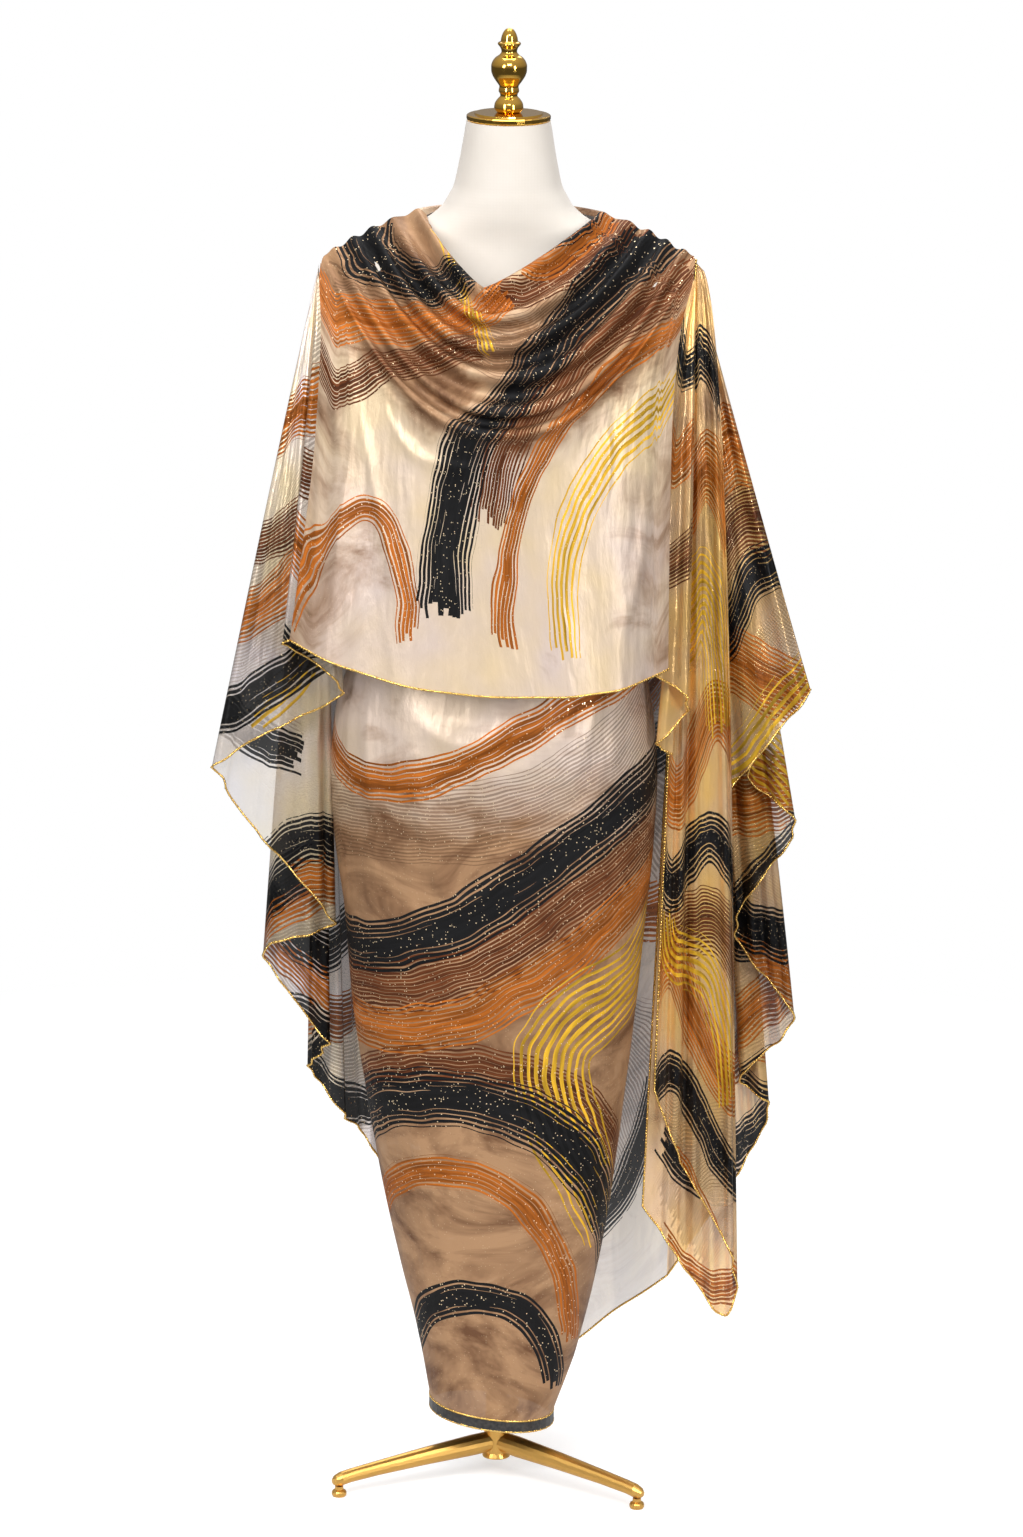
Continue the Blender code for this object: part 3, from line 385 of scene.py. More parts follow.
SKIRT_PRINT = (
    ("umber", 0.050, -0.30, 0.34, -0.14, 0.30, 0.02, 0.28, 0.22, 0.16),
    ("black", 0.034, 0.36, 0.22, 0.12, 0.30, -0.06, 0.42, -0.30, 0.46),
    ("black", 0.036, -0.26, 0.72, -0.06, 0.62, 0.10, 0.68, 0.20, 0.90),
    ("black", 0.022, -0.14, 0.98, -0.07, 0.88, 0.02, 0.87, 0.08, 0.98),
    ("copper", 0.022, -0.32, 0.17, -0.10, 0.25, 0.08, 0.16, 0.32, 0.13),
    ("copper", 0.028, 0.36, 0.34, 0.14, 0.41, -0.03, 0.52, -0.28, 0.55),
    ("copper", 0.020, -0.22, 0.83, -0.06, 0.71, 0.05, 0.76, 0.10, 0.92),
    ("gold", 0.055, 0.26, 0.42, 0.14, 0.50, 0.07, 0.57, 0.16, 0.78),
    ("rust", 0.034, 0.36, 0.28, 0.13, 0.36, -0.04, 0.47, -0.30, 0.51),
    ("rust", 0.024, -0.24, 0.66, -0.06, 0.58, 0.11, 0.62, 0.24, 0.84),
)
# Each fall: its piece, its node, its print, its free side edges and how open its hem is
FALLS = (
    ("left_fall_cloth", "left_fall", LEFT_PRINT, (), 1.0),
    ("right_turn_cloth", "right_turn", TURN_PRINT, (), 0.5),
    ("right_fall_cloth", "right_fall", RIGHT_PRINT, (0,), 0.9),
    ("loose_end_cloth", "right_loose_end", LOOSE_PRINT, (0, -1), 0.6),
)
# A point this far outside every band belongs to none, and has these values
CLEAR_OF_BAND = 0.012
NO_BAND = (9.0, -9.0, 0.02)
# Spacing of each ink's fine lines, how closed they are, and how far a band's ends are ragged
PITCH = {"umber": 0.0042, "rust": 0.0044, "copper": 0.0052, "gold": 0.0095, "black": 0.0060}
CLOSED = {"umber": 0.45, "rust": 0.85, "copper": 0.92, "gold": 0.20, "black": 1.15}
STRENGTH = {"umber": 0.55, "rust": 1.0, "copper": 1.0, "gold": 1.0, "black": 1.0}
RAGGED = 0.020


class Wire:
    """A socket of a shader. Arithmetic on wires adds Math nodes, with a number on either side,
    and make adds any other node."""

    def __init__(self, tree, socket=None):
        self.tree = tree
        self.socket = socket

    def make(self, kind, settings=None, inputs=None, output=0):
        """A node with its settings and inputs, of which one output is the new wire."""
        node = self.tree.nodes.new("ShaderNode" + kind)
        for name, value in (settings or {}).items():
            setattr(node, name, value)
        for key, value in (inputs or {}).items():
            if isinstance(value, Wire):
                self.tree.links.new(value.socket, node.inputs[key])
            else:
                node.inputs[key].default_value = value
        return Wire(self.tree, node.outputs[output])

    def math(self, operation, *values, clamp=False):
        """A Math node fed with the values alone. This wire only says in which shader."""
        settings = {"operation": operation, "use_clamp": clamp}
        return self.make("Math", settings, dict(enumerate(values)))

    def __add__(self, other):
        return self.math("ADD", self, other)

    def __radd__(self, other):
        return self.math("ADD", other, self)

    def __sub__(self, other):
        return self.math("SUBTRACT", self, other)

    def __rsub__(self, other):
        return self.math("SUBTRACT", other, self)

    def __mul__(self, other):
        return self.math("MULTIPLY", self, other)

    def __rmul__(self, other):
        return self.math("MULTIPLY", other, self)

    def __truediv__(self, other):
        return self.math("DIVIDE", self, other)

    def __rtruediv__(self, other):
        return self.math("DIVIDE", other, self)

    def __lt__(self, other):
        return self.math("LESS_THAN", self, other)

    def __gt__(self, other):
        return self.math("GREATER_THAN", self, other)

    def clamped(self):
        """Kept between 0 and 1."""
        return self.math("ADD", self, 0.0, clamp=True)

    def ramp(self, low, high):
        """0 below low, 1 above high, and even between."""
        settings = {"clamp": True}
        return self.make("MapRange", settings, {"Value": self, "From Min": low, "From Max": high})

    def colours(self, first, second):
        """The first colour where this wire is 0 and the second where it is 1."""
        return self.make("Mix", {"data_type": "RGBA"}, {0: self, 6: first, 7: second}, 2)

    def parts(self):
        """The three parts of a vector."""
        node = self.make("SeparateXYZ", None, {"Vector": self}).socket.node
        return [Wire(self.tree, output) for output in node.outputs]


def material(name):
    """A new material: its Principled shader and a wire to build from."""
    made = bpy.data.materials.new(name)
    made.use_nodes = True
    return made, made.node_tree.nodes["Principled BSDF"], Wire(made.node_tree)


def feed(shader, wire, socket):
    """Link a wire to an input of a shader."""
    wire.tree.links.new(wire.socket, shader.inputs[socket])


def feed_bump(shader, height, strength):
    """Fine relief in the normal, from a height in metres."""
    inputs = {"Height": height, "Strength": strength, "Distance": 1.0}
    feed(shader, height.make("Bump", None, inputs), "Normal")


def object_place(wire):
    """Object coordinates, in metres."""
    return wire.make("TexCoord", None, None, 3)


def attribute(wire, name, output=2):
    """An attribute of the mesh: output 1 is its vector and output 2 its number."""
    return wire.make("Attribute", {"attribute_name": name}, None, output)


def noise(wire, where, scale, detail=2.0, rough=0.5, stretch=(1.0, 1.0, 1.0), swirl=0.0):
    """Smooth noise round 0.5 at so many waves a metre, stretched along the axes and swirled."""
    spot = wire.make("VectorMath", {"operation": "MULTIPLY"}, {0: where, 1: stretch})
    inputs = {"Vector": spot, "Scale": scale, "Detail": detail, "Roughness": rough,
              "Distortion": swirl}
    return wire.make("TexNoise", None, inputs, 0)


def band_cover(wire, ink, waver):
    """One ink's bands, from the attribute that gives how far across the band a point is, how far
    inside its nearer end, and the band's half width. A band is a set of fine combed lines, close
    in its middle and parted at its edges, each ending where it likes and all of them wavering
    alike. Gives cover and streaks."""
    across, inside, half = attribute(wire, "ink_" + ink, 1).parts()
    across = across + waver
    line = across / PITCH[ink]
    number = line.math("FLOOR", line + 0.5)
    end = wire.make("TexWhiteNoise", {"noise_dimensions": "1D"}, {"W": number}, 0)
    along = wire.make("CombineXYZ", None, {0: inside * 9.0, 1: line * 0.9, 2: half * 200.0}, 0)
    inputs = {"Vector": along, "Scale": 1.0, "Detail": 3.0, "Roughness": 0.6}
    streak = wire.make("TexNoise", None, inputs, 0)
    out = across.math("ABSOLUTE", across) / half
    wave = line.math("COSINE", line * (2 * math.pi))
    solid = wave > out * out * 1.3 - CLOSED[ink] + (streak - 0.5) * 1.5
    return solid * (inside > end * RAGGED) * (out < 1.0), streak


def cloth_material(name):
    """Sheer metallic cloth with a printed design, in one of the looks. Brown washes lie where
    the cloth says, and over the front's cowl they are partly painted shade; glitter lies in the
    ink."""
    foil, sheer, dull, ground, shade = LOOKS[name]
    made, shader, wire = material(name)
    uv = wire.make("UVMap", {"uv_map": "cloth"}, None, 0)
    broad = noise(wire, uv, 5.0, 3.0, 0.6)
    streaks = noise(wire, uv, 7.0, 4.0, 0.62, (1.0, 1.8, 1.0), 1.6)
    wash = attribute(wire, "wash")
    colour = broad.ramp(0.38, 0.62).colours(ground, shade)
    washed = (streaks * 0.45 + broad * 0.55 + wash * 0.40).ramp(0.64, 0.94)
    colour = washed.colours(colour, TAN)
    colour = ((streaks - 0.42).clamped() * washed * 3.8).clamped().colours(colour, UMBER)
    inked, glossy = None, None
    waver = (noise(wire, uv, 16.0, 1.0) - 0.5) * 0.016
    for ink, bright in INKS.items():
        cover, streak = band_cover(wire, ink, waver)
        dark = tuple(c * 0.34 for c in bright[:3]) + (1.0,)
        cover = cover * STRENGTH[ink]
        colour = cover.colours(colour, streak.ramp(0.35, 0.65).colours(dark, bright))
        inked = cover if inked is None else inked.math("MAXIMUM", inked, cover)
        if ink == "gold":
            glossy = inked
    inputs = {"Vector": uv, "Scale": GRAINS, "Randomness": 1.0}
    grains = wire.make("TexVoronoi", {"feature": "F1"}, inputs, 0)
    picks = Wire(wire.tree, grains.socket.node.outputs[1])
    pick = wire.make("SeparateColor", None, {"Color": picks}, 0)
    glint = (grains < GRAIN_SIZE) * (pick > GRAIN_PICK) * (inked * 0.85 + 0.15)
    colour = glint.colours(colour, GLITTER)
    weave = noise(wire, uv, 900.0, 1.0)
    crumple = noise(wire, uv, 9.0, 2.0, 0.5, (3.2, 0.9, 1.0))
    crush = noise(wire, uv, 48.0, 3.0, 0.6, (2.2, 1.0, 1.0))
    open_part = attribute(wire, "open_part")
    inputs = {0: colour, "Scale": 1.0 - open_part * OPEN_DIM}
    feed(shader, wire.make("VectorMath", {"operation": "SCALE"}, inputs), "Base Color")
    metal = (1.0 - inked) * foil + glossy * 0.30 + glint * 0.6
    feed(shader, metal.clamped(), "Metallic")
    rough = dull + inked * 0.10 + washed * 0.10 + (weave - 0.5) * 0.10 - glint * 0.2
    feed(shader, rough.clamped(), "Roughness")
    alpha = 1.0 - (sheer + open_part * OPEN_LIGHT) * (1.0 - inked * INK_CLOSES)
    feed(shader, alpha.clamped(), "Alpha")
    feed_bump(shader, crumple * CRUMPLE + crush * CRUSH + weave * WEAVE + inked * INK_RELIEF, 0.8)
    shader.inputs["Specular IOR Level"].default_value = 0.2
    return made


def gold_material(name, roughness, colour):
    """Polished gold plate: faint smears in its gloss and a very fine brushed grain."""
    made, shader, wire = material(name)
    spot = object_place(wire)
    smear = noise(wire, spot, 26.0, 3.0)
    grain = noise(wire, spot, 700.0, 1.0, 0.5, (1.0, 1.0, 0.15))
    darker = tuple(c * 0.86 for c in colour[:3]) + (1.0,)
    feed(shader, smear.ramp(0.35, 0.75).colours(colour, darker), "Base Color")
    feed(shader, roughness + (smear - 0.5) * 0.10 + (grain - 0.5) * 0.04, "Roughness")
    feed_bump(shader, grain * 0.00002, 0.5)
    shader.inputs["Metallic"].default_value = 1.0
    return made


def linen_material():
    """The form's cover: an off-white plain weave with a soft nap and faint warm mottling."""
    made, shader, wire = material("form_linen")
    spot = object_place(wire)
    across, _, up = spot.parts()
    threads = [(way * THREADS).math("SINE", way * THREADS) * 0.5 for way in (across, up)]
    mottle = noise(wire, spot, 12.0, 4.0, 0.6)
    feed(shader, mottle.ramp(0.3, 0.7).colours(*LINENS), "Base Color")
    fuzz = noise(wire, spot, 500.0, 2.0)
    feed(shader, 0.80 + (fuzz - 0.5) * 0.2, "Roughness")
    feed_bump(shader, (threads[0] + threads[1]) * 0.00004 + fuzz * 0.00008, 0.6)
    shader.inputs["Sheen Weight"].default_value = 0.25
    return made


def curve_through(rows, at):
    """Columns of a table read between its rows with no overshoot: a cubic in each interval
    whose slope at a row is zero where a column turns, else the harmonic mean of its sides."""
    rows = np.asarray(rows, float)
    at = np.asarray(at, float)
    steps = np.diff(rows, axis=0)
    before, after = steps[:-1], steps[1:]
    same_way = before * after > 0
    inner = np.where(same_way, 2 * before * after / np.where(same_way, before + after, 1.0), 0.0)
    slopes = np.vstack([steps[:1], inner, steps[-1:]])
    low = np.clip(at.astype(int), 0, len(rows) - 2)
    t = (at - low)[:, None]
    t2, t3 = t * t, t * t * t
    return ((2 * t3 - 3 * t2 + 1) * rows[low] + (t3 - 2 * t2 + t) * slopes[low]
            + (3 * t2 - 2 * t3) * rows[low + 1] + (t3 - t2) * slopes[low + 1])


def read_at(table, key):
    """A table's other columns at values of its first column."""
    table = np.asarray(table, float)
    return curve_through(table[:, 1:], np.interp(key, table[:, 0], np.arange(len(table))))


def level_ring(half_width, centre_x, front, back, around):
    """Plan of a level section, from the middle of the back round to the viewer's left: x and y
    as powers of cosine and sine, a superellipse."""
    angle = np.pi / 2 + turns(around)
    c, s = np.cos(angle), np.sin(angle)
    power = 2.0 / SQUARENESS
    across = np.sign(c) * np.abs(c) ** power
    deep = np.sign(s) * np.abs(s) ** power
    y = (front + back) / 2 + (back - front) / 2 * deep
    return np.stack([centre_x + half_width * across, y], axis=-1)


def normals_of(grid, ring=False):
    """Unit normals: the step across crossed with the step down, which wraps round a ring."""
    across = np.roll(grid, -1, 1) - np.roll(grid, 1, 1) if ring else np.gradient(grid, axis=1)
    normal = np.cross(across, np.gradient(grid, axis=0))
    return normal / np.maximum(np.linalg.norm(normal, axis=2, keepdims=True), 1e-12)


def spread_places(across, even):
    """Places from -1 to 1, close together at both ends, the more even the larger even is."""
    share = np.linspace(0, 1, across)
    return even * (2 * share - 1) - (1 - even) * np.cos(np.pi * share)


def folds_forward(place, down, folds):
    """Height of soft ridges that run down the cloth: a bell across, growing down its length."""
    raised = np.zeros((len(down), len(place)))
    for at_top, at_hem, half_width, depth, starts in folds:
        middle = at_top + (at_hem - at_top) * down[:, None]
        grown = np.clip((down[:, None] - starts) / (1 - starts), 0, 1) ** FOLD_GROWTH
        raised += depth * grown * np.exp(-((place[None] - middle) / half_width) ** 2)
    return raised * (1 - place[None] ** 8)


def bow_line(row, place):
    """A line across the body: from its left end down to its lowest point and up again, its drop
    and its way forward falling off as powers of the place across."""
    left, low, right, power = row[0:3], row[3:6], row[6:9], row[9]
    near = np.abs(place)[:, None]
    end = np.where(place[:, None] < 0, left, right)
    x = low[0] + (end[:, 0:1] - low[0]) * near
    y = end[:, 1:2] + (low[1] - end[:, 1:2]) * (1 - near ** FRONT_REACH)
    z = end[:, 2:3] + (low[2] - end[:, 2:3]) * (1 - near ** power)
    return np.concatenate([x, y, z], axis=1)


def crease_heights(grid, creases):
    """Height of creases laid over the cloth: each falls off with the distance, seen from the
    front, to its curve, a parabola through three points, and fades out at both its ends."""
    flat = grid[..., [0, 2]].reshape(-1, 2)
    raised = np.zeros(len(flat))
    t = np.linspace(0, 1, CREASE_STEPS)[:, None]
    for row in creases:
        start, middle, end = (np.array(row[k:k + 2]) for k in (0, 2, 4))
        half, height = row[6:8]
        path = start * (1 - t) * (1 - 2 * t) + middle * 4 * t * (1 - t) + end * t * (2 * t - 1)
        apart = np.linalg.norm(flat[:, None] - path[None], axis=2)
        nearest = apart.argmin(axis=1)
        fade = np.sin(np.pi * np.clip(t[nearest, 0] * 0.92 + 0.04, 0, 1)) ** 0.7
        raised += height * fade / (1 + (apart.min(axis=1) / half) ** 2) ** 1.5
    return raised.reshape(grid.shape[:2])


def ripples(a, b, seed, waves):
    """Uneven waves between -1 and 1: a sum of sines along random headings, seeded."""
    draw = np.random.default_rng(seed)
    total = np.zeros(np.broadcast(a, b).shape)
    for low, high, share in waves:
        heading = draw.uniform(0, 2 * np.pi)
        count = draw.uniform(low, high)
        along = a * np.cos(heading) + b * np.sin(heading)
        total = total + share * np.sin(2 * np.pi * count * along + draw.uniform(0, 2 * np.pi))
    return total


def fluted(grid, uv, seed):
    """The fall with soft flutes that run down it, uneven in width and depth, none at its top or
    its two side edges. They grow with the space that its layers have between them."""
    draw = np.random.default_rng(seed)
    u, v = uv[..., 0], uv[..., 1]
    wave = np.zeros(u.shape)
    for width, share in FLUTES:
        turn, sway, pace = draw.uniform(0, 6.28), draw.uniform(0.2, 0.6), draw.uniform(3.0, 6.0)
        wave += share * np.sin(2 * np.pi * u / width + turn + sway * np.sin(pace * v + turn))
    down = np.linspace(0, 1, grid.shape[0])[:, None]
    edge = np.clip(np.minimum(u, u[:, -1:] - u) / 0.04, 0, 1)
    height = FLUTE_HEIGHT * wave * edge * down ** 0.6
    return grid + normals_of(grid) * height[..., None]


def kept_off(grid, tree):
    """The grid with each point that lies in the form, or too near it, moved out along the
    form's normal to just clear it. The tree of the form's faces answers one point at a time."""
    shift = np.zeros(grid.shape)
    for index in np.ndindex(grid.shape[:2]):
        spot = Vector(grid[index])
        near, normal, _, distance = tree.find_nearest(spot, REACH_OF_FORM)
        if near is None or ((spot - near).dot(normal) > 0 and distance >= OFF_FORM):
            continue
        shift[index] = np.array(near + normal * OFF_FORM - spot)
    return grid + shift


def ink_fields(uv, rows):
    """For each ink, a field of how far across its nearest band each point is, how far inside the
    band's nearer end, and the band's half width. A band's middle line is the cubic through its
    four points, and a point belongs to the band whose edge it is deepest inside. Every second
    band runs backwards, so that across has one sign between two bands and never passes zero."""
    flat = uv.reshape(-1, 2)
    t = np.linspace(0, 1, BAND_STEPS)[:, None]
    basis = (-4.5 * (t - 1 / 3) * (t - 2 / 3) * (t - 1), 13.5 * t * (t - 2 / 3) * (t - 1),
             -13.5 * t * (t - 1 / 3) * (t - 1), 4.5 * t * (t - 1 / 3) * (t - 2 / 3))
    fields = {}
    for ink in INKS:
        field = np.tile(NO_BAND, (len(flat), 1))
        best = np.full(len(flat), CLEAR_OF_BAND)
        for number, (_, half, *points) in enumerate(row for row in rows if row[0] == ink):
            path = sum(b * np.array(points[2 * k:2 * k + 2]) for k, b in enumerate(basis))
            path = path[::-1] if number % 2 else path
            along = path_lengths(path)
            heading = np.gradient(path, axis=0)
            heading /= np.linalg.norm(heading, axis=1, keepdims=True)
            nearest = np.linalg.norm(flat[:, None] - path[None], axis=2).argmin(axis=1)
            away, way = flat - path[nearest], heading[nearest]
            across = way[:, 0] * away[:, 1] - way[:, 1] * away[:, 0]
            reached = along[nearest] + (way * away).sum(axis=1)
            inside = np.minimum(reached, along[-1] - reached)
            depth = np.maximum(np.abs(across) - half, -inside)
            closer = depth < best
            best[closer] = depth[closer]
            field[closer] = np.column_stack([across, inside, np.full(len(flat), half)])[closer]
        fields["ink_" + ink] = field
    return fields


def add_piece(name, mesh, look, node=None):
    """The piece of a mesh, on the one body, in the place of a node's plain solid if one is
    given."""
    mesh.materials.append(look)
    piece = bpy.data.objects.new(name, mesh)
    bpy.context.collection.objects.link(piece)
    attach(piece, "root")
    if node:
        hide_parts(node)
    return piece


def quads(rows, across, ring):
    """Corners of the four-sided faces between a grid's points: along its row, down to the next
    and back. The last column meets the first one round a ring."""
    i, j = np.meshgrid(np.arange(rows - 1), np.arange(across if ring else across - 1),
                       indexing="ij")
    k = (j + 1) % across
    return np.stack([i * across + j, i * across + k, (i + 1) * across + k,
                     (i + 1) * across + j], -1).reshape(-1, 4)


def grid_piece(name, node, grid, uv, look, rows, wash, open_part=0.0, ring=False, turned=False):
    """A cloth mesh from a grid of points, with its UV map in metres of flat cloth, its printed
    bands, how far brown washes cover it and how open its weave is. Turned faces look the other
    way, so that the cloth's right side is always outside."""
    down, across = grid.shape[:2]
    order = TURNED if turned else [0, 1, 2, 3]
    corners = quads(down, across, ring)[:, order]
    mesh = bpy.data.meshes.new(name)
    points = (grid + AXIS).reshape(-1, 3)
    mesh.vertices.add(len(points))
    mesh.vertices.foreach_set("co", points.astype(np.float32).ravel())
    count = len(corners)
    mesh.loops.add(count * 4)
    mesh.loops.foreach_set("vertex_index", corners.astype(np.int32).ravel())
    mesh.polygons.add(count)
    mesh.polygons.foreach_set("loop_start", np.arange(count, dtype=np.int32) * 4)
    mesh.update(calc_edges=True)
    places = np.stack([uv[:-1, :-1], uv[:-1, 1:], uv[1:, 1:], uv[1:, :-1]], axis=2)
    places = places[:, :, order]
    layer = mesh.uv_layers.new(name="cloth")
    layer.data.foreach_set("uv", places.reshape(-1).astype(np.float32))
    for label, value in (("wash", wash), ("open_part", open_part)):
        spread = np.broadcast_to(value, (down, across)).astype(np.float32)
        mesh.attributes.new(label, "FLOAT", "POINT").data.foreach_set("value", spread.ravel())
    for label, field in ink_fields(uv[:, :across], rows).items():
        mesh.attributes.new(label, "FLOAT_VECTOR", "POINT").data.foreach_set(
            "vector", field.astype(np.float32).ravel())
    mesh.polygons.foreach_set("use_smooth", np.ones(count, bool))
    return add_piece(name, mesh, look, node)


def turns(count):
    """So many even angles round a circle, from 0."""
    return np.arange(count) * 2 * np.pi / count


def swept(heights, radii, around):
    """Points of a profile swept round the upright axis, ring by ring."""
    angle = turns(around)
    radii, heights = np.asarray(radii)[:, None], np.asarray(heights)[:, None]
    rings = [radii * np.cos(angle), radii * np.sin(angle), heights + 0 * angle]
    return np.stack(rings, axis=-1).reshape(-1, 3)


def path_lengths(path):
    """Distance along a path from its first point to each of its points."""
    step = np.linalg.norm(np.diff(path, axis=0), axis=1)
    return np.concatenate([[0], np.cumsum(step)])


def length_along(grid, axis):
    """Distance from the first point along one axis of a grid."""
    step = np.linalg.norm(np.diff(grid, axis=axis), axis=2)
    start = np.zeros((1, grid.shape[1])) if axis == 0 else np.zeros((grid.shape[0], 1))
    return np.concatenate([start, np.cumsum(step, axis=axis)], axis=axis)


def ring_faces(rows, around):
    """Faces of a tube of rings, closed at both ends."""
    last = (rows - 1) * around
    ends = [list(reversed(range(around))), list(range(last, last + around))]
    return quads(rows, around, True).tolist() + ends


def form_tree():
    """The form's grid, and the tree of its faces, which the cloth is kept off."""
    rings = []
    heights = np.linspace(FORM[0][0], FORM[-1][0], TORSO_ROWS)
    for height, (half, front, back) in zip(heights, read_at(FORM, heights)):
        plan = level_ring(half, 0.0, front, back, TORSO_AROUND)
        rings.append(np.column_stack([plan, np.full(TORSO_AROUND, height)]))
    grid = np.stack(rings)
    faces = ring_faces(TORSO_ROWS, TORSO_AROUND)
    return grid, BVHTree.FromPolygons([Vector(p) for p in grid.reshape(-1, 3)], faces)


def front_grid():
    """The front: bows read along the table from the neck to the hem, with its soft folds."""
    table = np.array(COWL + APRON)
    count = (len(table) - 1) * ROWS_EACH + 1
    at = np.linspace(0, len(table) - 1, count)
    place = spread_places(FRONT_ACROSS, FRONT_EVEN)
    grid = np.stack([bow_line(bow, place) for bow in curve_through(table, at)])
    down = np.clip(at - len(COWL), 0, None) / (len(APRON) - 1)
    grid[..., 1] -= folds_forward(place, down, APRON_FOLDS)
    soft = grid.copy()
    for _ in range(SHOULDER_SMOOTHING):
        soft[1:-1] = (soft[:-2] + 2 * soft[1:-1] + soft[2:]) / 4
    near_end = (np.abs(place)[None, :, None] ** 6) * (at < len(COWL) - 0.5)[:, None, None]
    return grid + (soft - grid) * near_end, place, at


def fall_places(runs):
    """Places along a pleated hem, one unit to each of its runs."""
    return np.linspace(0, runs, runs * RUN_STEPS + 1)


def hem_line(stations, places):
    """A pleated hem between its turns: it rests sideways at a turn and goes back fastest there,
    by a power of the way to the middle of the run. Its two ends are straight."""
    path = curve_through(stations, places)
    low = np.clip(places.astype(int), 0, len(stations) - 2)
    from_middle = 2 * (places - low) - 1
    table = np.asarray(stations, float)
    straight = (places < 0.5) | (places > len(stations) - 1.5)
    power = np.where(straight, 1.0, TURN_ROUNDNESS)
    back = 0.5 + 0.5 * np.sign(from_middle) * np.abs(from_middle) ** power
    path[:, 1] = table[low, 1] + (table[low + 1, 1] - table[low, 1]) * back
    return path


def fall_grid(stations, top, rows, crest=0.0):
    """A pleated fall: each column runs from the gathered shoulder line to its place on the hem.
    It spreads sideways as a power of the way down and from front to back as another."""
    places = fall_places(len(stations) - 1)
    hem = hem_line(stations, places)
    share = places / (len(stations) - 1)
    top_x, top_front, top_back, high_first, high_last = top
    top_y = top_front + (top_back - top_front) * share
    top_z = high_first + (high_last - high_first) * share + crest * (1 - np.abs(2 * share - 1))
    down = np.linspace(0, 1, rows)[:, None]
    x = top_x + (hem[:, 0] - top_x) * down ** hem[:, 3]
    z = top_z + (hem[:, 2] - top_z) * down
    y = top_y + (hem[:, 1] - top_y) * down ** FALL_DEPTH_EASE
    return np.stack([x, y, z], axis=2), places


def edge_at(edge, heights):
    """Points of an edge that only falls, at the given heights."""
    rising = edge[np.argsort(edge[:, 2])]
    x, y = (np.interp(heights, rising[:, 2], rising[:, k]) for k in (0, 1))
    return np.column_stack([x, y, heights])


def following(grid, edge, places):
    """The fall with its first runs eased over, so that its first column lies on the edge."""
    shift = edge_at(edge, grid[:, 0, 2]) - grid[:, 0]
    fade = np.clip(1 - (places - places[0]) / 2, 0, 1) ** 2
    return grid + shift[:, None, :] * fade[None, :, None]


def back_grid(front, left_edge, right_edge):
    """The back: rows that start and end on the shoulder line and then on the falls' last
    columns, and bow back round the form between them."""
    shoulder_rows = (len(COWL) - 1) * ROWS_EACH + 1
    ends = [(front[row, 0], front[row, -1]) for row in range(shoulder_rows)]
    for t in np.linspace(0, 1, BACK_ROWS_BELOW + 1):
        ends.append([edge_at(edge, edge[:1, 2] + (edge[-1:, 2] - edge[:1, 2]) * t)[0]
                     for edge in (left_edge, right_edge)])
    index = np.concatenate([np.linspace(0, len(COWL) - 1, shoulder_rows),
                            np.linspace(len(COWL), BACK_MIDDLE[-1][0], BACK_ROWS_BELOW + 1)])
    place = spread_places(FRONT_ACROSS, BACK_EVEN)
    rows = [np.concatenate([left, low[:3], right, low[3:]])
            for (left, right), low in zip(ends, read_at(BACK_MIDDLE, index))]
    grid = np.stack([bow_line(row, place) for row in rows])
    down = np.clip((index - len(COWL)) / (index[-1] - len(COWL)), 0, 1)
    grid[..., 1] += folds_forward(place, down, BACK_FOLDS)
    return grid, place, down


def rolled_tube(line):
    """Points and faces of the rolled edge: a ring carried along a line, closed at both ends."""
    ring = turns(ROLL_SIDES)
    tangent = np.gradient(line, axis=0)
    tangent /= np.linalg.norm(tangent, axis=1, keepdims=True)
    side = np.cross(tangent, (0.31, 0.95, 0.05))
    side /= np.linalg.norm(side, axis=1, keepdims=True)
    other = np.cross(tangent, side)
    tube = line[:, None] + ROLL_RADIUS * (side[:, None] * np.cos(ring)[None, :, None]
                                          + other[:, None] * np.sin(ring)[None, :, None])
    return tube.reshape(-1, 3), ring_faces(len(line), ROLL_SIDES)


def sewn_bead():
    """Points and faces of one bead of unit radius: a squat ball with as many sides as its rings
    have points, and a point at each pole."""
    sides, rings = ROLL_SIDES, len(BEAD_TILTS)
    points = np.concatenate([swept(np.sin(BEAD_TILTS), np.cos(BEAD_TILTS), sides),
                             [(0, 0, -1), (0, 0, 1)]])
    low, last = rings * sides, (rings - 1) * sides
    faces = quads(rings, sides, True).tolist()
    faces += [(low, (j + 1) % sides, j) for j in range(sides)]
    faces += [(low + 1, last + j, last + (j + 1) % sides) for j in range(sides)]
    return points, faces


